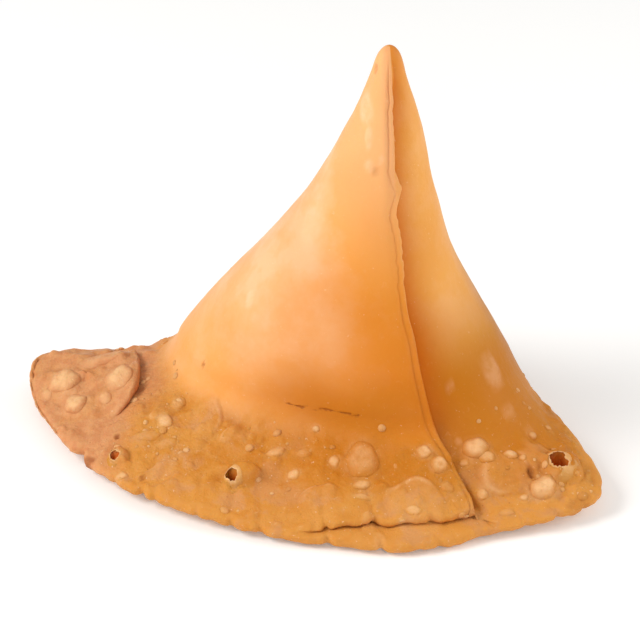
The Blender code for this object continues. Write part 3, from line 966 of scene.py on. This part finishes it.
def surface_under(tree, points):
    """Height of the crust under points in plan, in millimetres."""
    heights = []
    for x, y in points:
        hit = tree.ray_cast(Vector((x, y, 100.0)) * METRES, Vector((0, 0, -1)))[0]
        if hit is None:
            hit = tree.find_nearest(Vector((x, y, 5.5)) * METRES)[0]
        heights.append(hit.z / METRES)
    return np.array(heights)


def make_turned_corner(crust, material):
    """The brim's left corner, folded over on to it: a slab whose right side is a free edge."""
    tree = ground_tree(crust)
    outline = closed_curve(CORNER_OUTLINE, CORNER_SIDES)
    thickness, free = outline[:, 2], np.clip(outline[:, 3], 0, 1)
    here = np.column_stack([outline[:, :2], np.zeros(CORNER_SIDES)])
    frayed = 0.02 * rough(here, 4.0, 31) + 0.012 * rough(here, 0.9, 30)
    spread = 1 + frayed - 0.035 * np.abs(rough(here, 2.6, 32))
    shares = np.linspace(0, 1, CORNER_RINGS + 1)[1:-1] ** 0.8 * CORNER_EDGE[0][0]
    rings, lifts = [], []
    for share, stands in [(share, 1.0) for share in shares] + list(CORNER_EDGE):
        rings.append(CORNER_MIDDLE + (outline[:, :2] - CORNER_MIDDLE) * (share * spread)[:, None])
        sunk = mix(thickness, -CORNER_DEPTH, between(share, *CORNER_SINK)) - 0.3 * (1 - stands)
        lifts.append(mix(sunk, stands * thickness, free * between(share, 0.1, 0.5)))
    rings = np.array(rings)
    ground = surface_under(tree, rings.reshape(-1, 2)).reshape(rings.shape[:2])
    for _ in range(CORNER_SMOOTHING):
        ground = (ground + np.roll(ground, 1, 1) + np.roll(ground, -1, 1)) / 3
    points = np.concatenate([rings, (ground + np.array(lifts))[..., None]], -1)
    raised = np.zeros_like(points)
    raised[..., 2] = 1.0
    rank = np.arange(len(rings))
    top = np.repeat(rank[:, None] < len(shares) + 3, CORNER_SIDES, 1)
    skin = Skin(points, raised, np.ones(rings.shape[:2], bool), top)
    lumps = 0.6 * rough(points, 7.0, 33) + 0.30 * rough(points, 3.2, 34) + 0.14 * rough(points, 1.5, 35)
    skin.raise_by(lumps * (1 - 0.6 * between(rank, len(shares) - 2, len(shares) + 3))[:, None])
    for row in CORNER_BLISTERS:
        skin.swell(*row)
    for row in CORNER_HOLLOWS:
        skin.hollow(*row)
    under = skin.points[-1].copy()
    under[:, :2] = mix(under[:, :2], CORNER_MIDDLE, 0.06)
    under[:, 2] -= 0.9
    points = np.concatenate([skin.points, [under]])
    tip = np.array([*CORNER_MIDDLE, skin.points[0, :, 2].mean()])
    mesh = crust_mesh("turned_corner", points, tip, np.array([*CORNER_MIDDLE, under[:, 2].mean()]))
    # painted shade: the edge's lower rings and the underside are darkened, as in the gap under the free edge
    crevice_shade = np.zeros(points.shape[:2])
    crevice_shade[len(shares) + 4:] = 0.6
    ruddy = np.clip(0.9 + 0.3 * rough(points, 6.0, 37), 0, 1)
    masks = {
        "ruddy": ruddy,
        "pale": np.concatenate([skin.pale, skin.pale[-1:]]),
        "dark": np.maximum(np.concatenate([skin.dark, skin.dark[-1:]]), crevice_shade),
    }
    set_masks(mesh, {**brim_masks(points.shape[:2]), **masks})
    return finish_piece(mesh, material)


# ---------------------------------------------------------------- whole blisters

DOME_SIDES = 36
# From a dome's top down: share of its radius, share of its rise
DOME_SHARES = (0.16, 0.32, 0.48, 0.62, 0.74, 0.84, 0.91, 0.96, 0.99, 1.0)
DOME_RINGS = tuple((share, (1 - share ** 2.1) ** 0.6) for share in DOME_SHARES)
DOME_RISE = 0.72
DOME_FOOT = 0.5  # how far its edge goes in below the crust


def dome_shell(tree, seed, x, y, z, across, along, lean, rise, pale):
    """One blister: its points in rings, its top, its foot and its paleness."""
    spot, _, _, _ = tree.find_nearest(Vector((x, y, z)) * METRES)
    spot = np.array(spot) / METRES
    normals = []
    for step_x, step_y in ((0, 0), (1, 0), (-1, 0), (0, 1), (0, -1)):
        beside = spot + (step_x * across, step_y * along, 0)
        normals.append(np.array(tree.find_nearest(Vector(beside) * METRES)[1]))
    normal = unit(np.mean(normals, 0) + (0, 0, 0.15))
    right, up = leaned_frame(normal, lean)
    angle = np.arange(DOME_SIDES) * 2 * np.pi / DOME_SIDES
    heading = np.stack([np.cos(angle), np.sin(angle)], -1)
    wobble = 1 + 0.20 * rough(np.column_stack([heading * 1.2, np.full(DOME_SIDES, seed * 3.1)]), 1.0, 51)
    q = np.array([heading * (share * mix(1, wobble, share))[:, None] for share in DOME_SHARES])
    flat = spot + q[..., :1] * across * right + q[..., 1:] * along * up
    ground = []
    for point in flat.reshape(-1, 3):
        hit = tree.ray_cast(Vector(point + normal * 5) * METRES, Vector(-normal), 0.010)[0]
        ground.append((np.array(hit) / METRES - point) @ normal if hit is not None else -1.0)
    ground = np.array(ground)
    places = np.column_stack([np.ones(len(ground)), q.reshape(-1, 2)])
    plane = places @ np.linalg.lstsq(places, ground, rcond=None)[0]
    reach, stands = np.array(DOME_RINGS).T[..., None]
    ground = mix(plane.reshape(q.shape[:2]), ground.reshape(q.shape[:2]), between(reach, 0.5, 1.0))
    lumps = 0.22 * rise * rough(flat, 1.7, 52) + 0.06 * rough(flat, 0.6, 53) * (reach < 0.99)
    points = flat + normal * (ground + DOME_RISE * rise * stands + lumps * stands)[..., None]
    foot = points[-1] - normal * DOME_FOOT
    paleness = pale * mix(1.15, 0.2, between(reach, 0.4, 1.0)) * (1 + 0.5 * rough(flat, 1.8, 54))
    paleness = np.concatenate([paleness, paleness[-1:]])
    rings = np.concatenate([points, [foot]])
    return rings, points[0].mean(0) + normal * 0.01, foot.mean(0), np.clip(paleness, 0, 1)


def make_blisters(tree, skin, crust_colours, material):
    """All the whole blisters as one piece: closed domes, each seated in the crust and coloured like it."""
    vertices, faces, paleness = [], [], []
    borrowed = {name: [] for name in ("toast_and_shade", "lower_right_shade", "shaded", "amber", "edge", "ruddy")}
    for seed, row in enumerate(BLISTERS + CORNER_BLISTERS):
        rings, tip, foot, pale = dome_shell(tree, seed, *row)
        shell = crust_mesh("dome", rings, tip, foot)
        first = len(vertices)
        vertices += [vertex.co.copy() for vertex in shell.vertices]
        faces += [[first + i for i in face.vertices] for face in shell.polygons]
        paleness += pale.reshape(-1).tolist() + [pale[0].mean(), 0.0]
        nearest = nearest_to(skin.points, *row[:3])
        for name, values in borrowed.items():
            values += [crust_colours[name][nearest]] * len(shell.vertices)
        bpy.data.meshes.remove(shell)
    mesh = smooth_mesh("blisters", vertices, faces)
    set_masks(mesh, {**brim_masks(len(vertices)), **borrowed, "pale": paleness})
    return finish_piece(mesh, material)


# ---------------------------------------------------------------- burst blisters

BURST_SIDES = 96
BURST_RINGS = 14
BURST_REACH = 1.95  # how far the thin skin reaches round the hole, in the hole's own half widths
BURST_GROUND = 2.5  # how far round it the ground is looked at, in the blister's own half widths


def hole_outline(angle, ragged):
    """The hole's radius at each angle: torn, with a tongue of skin left standing in it on one side."""
    tongue = bell(np.mod(angle - math.radians(25) + np.pi, 2 * np.pi) - np.pi, 0.42)
    around_hole = np.stack([np.cos(angle) * 2.2, np.sin(angle) * 2.2, np.full_like(angle, 40.0 * ragged)], -1)
    torn = rough(around_hole, 1.0, 41) + 0.6 * rough(around_hole, 0.35, 42)
    return 1 - 1.3 * ragged * tongue + ragged * 0.8 * torn


def make_burst_blister(name, burst, skin, material):
    """The thin skin round a burst blister's hole, which runs in under the crust's own dome."""
    x, y, z, across, along, lean, rise, hole_u, hole_v, hole_across, hole_along, ragged = burst
    nearest = nearest_to(skin.plain, x, y, z)
    middle, normal = skin.plain[nearest], skin.raised[nearest]
    right, up = leaned_frame(normal, lean)
    u, v = skin.across_up(x, y, z, across, along, lean)
    near = (np.hypot(u, v) < BURST_GROUND) & skin.beside(nearest)
    ground_u, ground_v = u[near], v[near]
    ground = (skin.plain[near] - middle) @ normal
    angle = np.arange(BURST_SIDES) * 2 * np.pi / BURST_SIDES
    heading = np.stack([np.cos(angle), np.sin(angle)], -1)
    sizes = np.array([hole_across, hole_along])
    hole = np.array([hole_u, hole_v]) + heading * hole_outline(angle, ragged)[:, None] * sizes
    outer = np.array([hole_u, hole_v]) + heading * BURST_REACH * sizes

    def base(q):
        weight = 1 / ((q[:, :1] - ground_u) ** 2 + (q[:, 1:] - ground_v) ** 2 + 0.01)
        return (weight * ground).sum(-1) / weight.sum(-1)

    rings, pale, inside = [], [], []
    # painted highlight: the skin round the hole is paler towards its right side
    painted_highlight_side = 0.5 + 0.5 * heading[:, 0]

    def ring(share, drop, paleness, inner):
        q = mix(hole, outer, share)
        height = base(q) + rise * burst_dome(np.linalg.norm(q, axis=-1)) + 0.05
        height -= drop + 0.35 * between(share, 0.65, 1.0)
        flat = middle + right * (q[:, :1] * across) + up * (q[:, 1:] * along)
        rings.append(flat + normal * height[:, None])
        pale.append(np.maximum(paleness, 0.75 * painted_highlight_side * (1 - share) ** 0.7 * (drop == 0)))
        inside.append(np.full(len(q), inner))

    for share in np.linspace(1, 0, BURST_RINGS):
        ring(share, 0.0, mix(0.9, 0.0, ease(share * 3)), 0.0)
    ring(-0.04, 0.4 * SHELL, 1.0, 0.0)
    for share in np.linspace(0, 1, BURST_RINGS):
        ring(share, SHELL, 0.5, min(1.0, share * 4))
    points = np.array(rings)
    i, j = np.meshgrid(np.arange(len(points)), np.arange(BURST_SIDES), indexing="ij")
    k = (j + 1) % BURST_SIDES
    n = (i + 1) % len(points)
    quads = np.stack([row * BURST_SIDES + column for row, column in ((i, j), (i, k), (n, k), (n, j))], -1)
    mesh = smooth_mesh(name, (points.reshape(-1, 3) * METRES).tolist(), quads.reshape(-1, 4).tolist())
    set_masks(mesh, {**brim_masks(points.shape[:2]), "pale": pale, "inside": inside})
    return finish_piece(mesh, material)


# ---------------------------------------------------------------- small bubbles and crumbs

def connect(tree, value, socket):
    """Links a node's output to a socket, or sets a plain value on it."""
    if isinstance(value, bpy.types.NodeSocket):
        tree.links.new(value, socket)
    else:
        socket.default_value = value


SCATTER_SETTINGS = ("Density", "Apart", "Smallest", "Largest", "Flatness", "Tilt", "Least Pale", "Most Pale")
SCATTER_UNITS = (1e4, METRES, METRES, METRES, 1.0, 1.0, 1.0, 1.0)  # of each, in Blender's own
# Each kind: seed, how many in a square centimetre at most, least distance apart, smallest and largest radius
# (in millimetres), flatness, how far it is tilted (in radians), least and greatest paleness
SCATTERED = {
    "small_bubbles": (7, 36.0, 0.8, 0.18, 0.9, 0.42, 0.0, 0.0, 0.75),
    "crumbs": (23, 3.0, 1.6, 0.12, 0.42, 0.45, 0.7, 0.75, 1.0),
}
SHAPE_SEGMENTS = 9
SHAPE_RINGS = 6
MOSTLY_SMALL = 3.4  # power of the random number that gives the share of the way to the largest
OVAL = (0.75, 1.35)  # least and greatest width, as shares of the length
FULL_TURN = 6.28


def scatter_tree():
    """A Geometry Nodes tree that strews flattened balls over a surface, by its bubbly attribute."""
    tree = bpy.data.node_groups.new("strewn", "GeometryNodeTree")

    def socket(name, kind, in_out="INPUT"):
        tree.interface.new_socket(name, in_out=in_out, socket_type="NodeSocket" + kind)

    def node(kind, **settings):
        made = tree.nodes.new(kind)
        for name, value in settings.items():
            setattr(made, name, value)
        return made

    def link(value, place):
        connect(tree, value, place)

    socket("Surface", "Geometry")
    for name in SCATTER_SETTINGS:
        socket(name, "Float")
    socket("Seed", "Int")
    socket("Material", "Material")
    socket("Geometry", "Geometry", "OUTPUT")
    given = node("NodeGroupInput").outputs

    bubbly = node("GeometryNodeInputNamedAttribute", data_type="FLOAT")
    bubbly.inputs["Name"].default_value = "bubbly"
    strew = node("GeometryNodeDistributePointsOnFaces", distribute_method="POISSON")
    link(given["Surface"], strew.inputs["Mesh"])
    link(given["Apart"], strew.inputs["Distance Min"])
    link(given["Density"], strew.inputs["Density Max"])
    link(bubbly.outputs[0], strew.inputs["Density Factor"])
    link(given["Seed"], strew.inputs["Seed"])

    ball = node("GeometryNodeMeshUVSphere")
    ball.inputs["Segments"].default_value = SHAPE_SEGMENTS
    ball.inputs["Rings"].default_value = SHAPE_RINGS
    ball.inputs["Radius"].default_value = 1.0

    def random_float(low, high, seed):
        made = node("FunctionNodeRandomValue", data_type="FLOAT")
        link(low, made.inputs[2])
        link(high, made.inputs[3])
        made.inputs["Seed"].default_value = seed
        return made.outputs[1]

    def calculate(operation, a, b):
        made = node("ShaderNodeMath", operation=operation)
        link(a, made.inputs[0])
        link(b, made.inputs[1])
        return made.outputs[0]

    def vector(x, y, z):
        made = node("ShaderNodeCombineXYZ")
        for value, place in zip((x, y, z), made.inputs):
            link(value, place)
        return made.outputs[0]

    share = calculate("POWER", random_float(0.0, 1.0, 1), MOSTLY_SMALL)
    extra = calculate("MULTIPLY", share, calculate("SUBTRACT", given["Largest"], given["Smallest"]))
    size = calculate("ADD", given["Smallest"], extra)
    wide = calculate("MULTIPLY", size, random_float(*OVAL, 2))
    tall = calculate("MULTIPLY", size, given["Flatness"])
    tilt = calculate("MULTIPLY", given["Tilt"], random_float(-1.0, 1.0, 3))
    spin = random_float(0.0, FULL_TURN, 4)
    twist = node("FunctionNodeRotateRotation", rotation_space="LOCAL")
    link(strew.outputs["Rotation"], twist.inputs[0])
    link(vector(tilt, tilt, spin), twist.inputs[1])

    place = node("GeometryNodeInstanceOnPoints")
    link(strew.outputs["Points"], place.inputs["Points"])
    link(ball.outputs["Mesh"], place.inputs["Instance"])
    link(twist.outputs[0], place.inputs["Rotation"])
    link(vector(wide, size, tall), place.inputs["Scale"])

    strewn = place.outputs[0]
    paleness = random_float(given["Least Pale"], given["Most Pale"], 5)
    for name, value in {"pale": paleness, **ON_BRIM}.items():
        store = node("GeometryNodeStoreNamedAttribute", data_type="FLOAT", domain="INSTANCE")
        store.inputs["Name"].default_value = name
        link(strewn, store.inputs[0])
        link(value, store.inputs["Value"])
        strewn = store.outputs[0]

    smooth = node("GeometryNodeSetShadeSmooth")
    realize = node("GeometryNodeRealizeInstances")
    paint = node("GeometryNodeSetMaterial")
    link(strewn, realize.inputs[0])
    link(realize.outputs[0], smooth.inputs["Geometry"])
    link(smooth.outputs[0], paint.inputs["Geometry"])
    link(given["Material"], paint.inputs["Material"])
    link(paint.outputs[0], node("NodeGroupOutput").inputs[0])
    return tree


def strewn_piece(name, tree, surface, material):
    """One kind of scattered detail, as a plain mesh."""
    seed, *settings = SCATTERED[name]
    values = {"Seed": seed, "Material": material}
    for setting, value, scale in zip(SCATTER_SETTINGS, settings, SCATTER_UNITS):
        values[setting] = value * scale
    host = add_object("host", surface.data)
    modifier = host.modifiers.new("strewn", "NODES")
    modifier.node_group = tree
    for item in tree.interface.items_tree:
        if item.in_out == "INPUT" and item.name in values:
            modifier[item.identifier] = values[item.name]
    bpy.context.view_layer.update()
    evaluated = host.evaluated_get(bpy.context.evaluated_depsgraph_get())
    mesh = bpy.data.meshes.new_from_object(evaluated)
    bpy.data.objects.remove(host)
    mesh.name = name
    mesh.materials.clear()
    return finish_piece(mesh, material)


# ---------------------------------------------------------------- materials

GOLD = (0.82, 0.32, 0.040, 1.0)
PEACH = (0.88, 0.50, 0.26, 1.0)
HONEY = (0.80, 0.36, 0.078, 1.0)
# deep toast, also used as painted shade beside the seam
TOAST_AND_SHADE = (0.60, 0.150, 0.004, 1.0)
# painted shade low on the right side
SHADE_OLIVE = (0.50, 0.185, 0.010, 1.0)
TAN = (0.62, 0.25, 0.034, 1.0)
AMBER = (0.54, 0.17, 0.008, 1.0)
ROSY = (0.62, 0.27, 0.060, 1.0)
PINK = (0.60, 0.27, 0.095, 1.0)
RUDDY = (0.61, 0.250, 0.117, 1.0)
CRISP = (0.70, 0.30, 0.060, 1.0)
LIGHT = (0.94, 0.57, 0.33, 1.0)
# painted shade for the right side and the back
SHADE_BROWN = (0.34, 0.11, 0.004, 1.0)
CREAM = (0.84, 0.49, 0.23, 1.0)
# painted highlight colour for the glints
GLINT = (0.95, 0.72, 0.50, 1.0)
# dark brown for pores, pits and cracks, also used for the painted shade in the turned corner's crevice
BURNT_AND_SHADE = (0.26, 0.055, 0.008, 1.0)
INSIDE = (0.62, 0.12, 0.006, 1.0)


class Shading:
    """A small helper that adds nodes to one material's tree."""

    def __init__(self, name):
        self.material = bpy.data.materials.new(name)
        self.material.use_nodes = True
        self.tree = self.material.node_tree
        self.shader = self.tree.nodes["Principled BSDF"]
        self.place = self.tree.nodes.new("ShaderNodeTexCoord").outputs["Object"]

    def link(self, value, socket):
        connect(self.tree, value, socket)

    def mask(self, name):
        node = self.tree.nodes.new("ShaderNodeAttribute")
        node.attribute_name = name
        return node.outputs["Fac"]

    def noise(self, size_mm, detail=2.0, roughness=0.5, distortion=0.0):
        node = self.tree.nodes.new("ShaderNodeTexNoise")
        self.tree.links.new(self.place, node.inputs["Vector"])
        node.inputs["Scale"].default_value = 1.0 / (size_mm * METRES)
        node.inputs["Detail"].default_value = detail
        node.inputs["Roughness"].default_value = roughness
        node.inputs["Distortion"].default_value = distortion
        return node.outputs["Fac"]

    def cells(self, size_mm):
        node = self.tree.nodes.new("ShaderNodeTexVoronoi")
        self.tree.links.new(self.place, node.inputs["Vector"])
        node.inputs["Scale"].default_value = 1.0 / (size_mm * METRES)
        return node.outputs["Distance"]

    def math(self, operation, a, b=0.0, c=0.0):
        node = self.tree.nodes.new("ShaderNodeMath")
        node.operation = operation
        for value, socket in zip((a, b, c), node.inputs):
            self.link(value, socket)
        return node.outputs[0]

    def times(self, a, b):
        return self.math("MULTIPLY", a, b)

    def times_plus(self, a, b, c):
        return self.math("MULTIPLY_ADD", a, b, c)

    def ramp(self, value, low, high, to_low=0.0, to_high=1.0):
        node = self.tree.nodes.new("ShaderNodeMapRange")
        node.interpolation_type = "SMOOTHSTEP"
        for number, socket in zip((value, low, high, to_low, to_high), node.inputs):
            self.link(number, socket)
        return node.outputs["Result"]

    def blend(self, share, a, b):
        node = self.tree.nodes.new("ShaderNodeMix")
        node.data_type = "RGBA"
        self.link(share, node.inputs["Factor"])
        self.link(a, node.inputs[6])
        self.link(b, node.inputs[7])
        return node.outputs[2]

    def bump(self, height, distance_mm, strength=1.0, after=None):
        node = self.tree.nodes.new("ShaderNodeBump")
        node.inputs["Strength"].default_value = strength
        node.inputs["Distance"].default_value = distance_mm * METRES
        self.tree.links.new(height, node.inputs["Height"])
        if after is not None:
            self.tree.links.new(after, node.inputs["Normal"])
        return node.outputs["Normal"]


def crust_material():
    s = Shading("fried_crust")
    brim = s.mask("brim")
    pale = s.mask("pale")
    dark = s.mask("dark")
    seam = s.mask("seam_mm")
    tip = s.mask("tip_mm")

    broad = s.ramp(s.noise(12.0, 4.0, 0.6), 0.38, 0.64)
    mottled = s.ramp(s.noise(4.0, 4.0, 0.65), 0.42, 0.66)
    # partly paler dough, partly painted light: the lap turns peach high up and away from the seam, where the
    # key light falls most
    away = s.ramp(seam, 4.0, 19.0)
    high = s.ramp(tip, 64.0, 41.0, 0.35, 1.0)
    peach_and_light = s.times(s.times(away, high), s.times_plus(broad, 0.45, 0.6))
    peach_and_light = s.times_plus(mottled, 0.12, peach_and_light)
    peach_and_light = s.math("MAXIMUM", peach_and_light, s.times(s.ramp(tip, 46.0, 14.0), 0.6))
    colour = s.blend(s.math("MINIMUM", peach_and_light, 1.0), GOLD, PEACH)
    honey = s.blend(s.times(broad, 0.3), HONEY, PEACH)
    colour = s.blend(s.mask("outer"), honey, colour)
    # painted shade: olive brown low on the right side
    colour = s.blend(s.mask("lower_right_shade"), colour, SHADE_OLIVE)
    # painted shade: dark brown on the right side and round the back
    colour = s.blend(s.times(s.mask("shaded"), 0.62), colour, SHADE_BROWN)
    # the toasted foot band and deeper browning, with painted shade beside the seam and under the lap's edge
    colour = s.blend(s.mask("toast_and_shade"), colour, TOAST_AND_SHADE)

    patchy = s.ramp(s.noise(5.5, 3.0, 0.6), 0.40, 0.60)
    grainy = s.ramp(s.noise(1.8, 3.0, 0.6), 0.40, 0.64)
    pinkish = s.ramp(s.noise(7.0, 4.0, 0.6, 0.5), 0.50, 0.62)
    brim_colour = s.blend(patchy, s.blend(0.5, AMBER, TAN), TAN)
    brim_colour = s.blend(s.times(grainy, 0.6), brim_colour, ROSY)
    brim_colour = s.blend(s.times(s.mask("edge"), 0.8), brim_colour, CRISP)
    brim_colour = s.blend(s.times(pinkish, 0.75), brim_colour, PINK)
    ruddy = s.blend(s.times(grainy, 0.3), RUDDY, CREAM)
    brim_colour = s.blend(s.times(s.mask("ruddy"), 0.85), brim_colour, ruddy)
    colour = s.blend(s.times(brim, 0.9), colour, brim_colour)
    colour = s.blend(s.times(s.mask("amber"), 0.85), colour, AMBER)
    # painted highlights: small glints in the colour, more on the brim
    glints = s.ramp(s.noise(0.7, 3.0, 0.7), 0.66, 0.74)
    colour = s.blend(s.times(glints, s.times_plus(brim, 0.35, 0.25)), colour, GLINT)

    flecks = s.ramp(s.noise(1.1, 4.0, 0.65, 0.6), 0.60, 0.74)
    colour = s.blend(s.times(flecks, s.times_plus(brim, 0.30, 0.08)), colour, CREAM)
    pores = s.ramp(s.cells(2.3), 0.09, 0.02)
    colour = s.blend(s.times(pores, s.times_plus(brim, 0.30, 0.06)), colour, BURNT_AND_SHADE)

    soft_pale = s.times(pale, s.ramp(s.noise(1.6, 3.0, 0.6), 0.25, 0.62, 0.45, 1.0))
    colour = s.blend(soft_pale, colour, s.blend(brim, LIGHT, CREAM))
    # dark pits and hollows, and the painted shade of the turned corner's crevice
    colour = s.blend(dark, colour, BURNT_AND_SHADE)
    colour = s.blend(s.mask("inside"), colour, INSIDE)
    wandering = s.math("ADD", s.mask("crack_mm"), s.times_plus(s.noise(1.2, 3.0, 0.6), 0.8, -0.4))
    crack = s.ramp(s.math("ABSOLUTE", wandering), 0.32, 0.08)
    colour = s.blend(s.times(crack, 0.6), colour, BURNT_AND_SHADE)

    upper = s.ramp(tip, 28.0, 20.0)
    strip = s.times(s.mask("lip"), s.ramp(seam, 1.9, 0.7))
    colour = s.blend(s.times(s.times(strip, upper), 0.22), colour, RUDDY)
    s.link(colour, s.shader.inputs["Base Color"])

    s.link(s.times_plus(s.noise(2.0, 3.0), 0.2, 0.34), s.shader.inputs["Roughness"])
    s.shader.inputs["Specular IOR Level"].default_value = 0.1
    s.shader.inputs["Subsurface Weight"].default_value = 0.12
    s.shader.inputs["Subsurface Radius"].default_value = (1.0, 0.42, 0.15)
    s.shader.inputs["Subsurface Scale"].default_value = 0.0018

    grain = s.times(s.noise(1.3, 5.0, 0.62), s.times_plus(brim, 1.1, 0.4))
    grain = s.math("SUBTRACT", grain, s.times(crack, 0.6))
    normal = s.bump(grain, 0.4, 0.7)
    dimples = s.times(s.noise(0.35, 2.0, 0.5), s.times_plus(brim, 0.6, 0.4))
    s.link(s.bump(dimples, 0.05, 0.5, normal), s.shader.inputs["Normal"])
    return s.material


# ---------------------------------------------------------------- putting it together

def keep(piece):
    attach(piece, BODY)


def main():
    add_camera()
    add_lights()
    add_floor()
    material = crust_material()
    crust, skin, masks = make_crust(material)
    corner = make_turned_corner(crust, material)
    pieces = [crust, corner, make_blisters(ground_tree(crust, corner), skin, masks, material)]
    for name, burst in BURSTS.items():
        pieces.append(make_burst_blister(name, burst, skin, material))
    tree = scatter_tree()
    for name in SCATTERED:
        pieces.append(strewn_piece(name, tree, crust, material))
    for piece in pieces:
        keep(piece)
    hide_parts(NODE)


main()
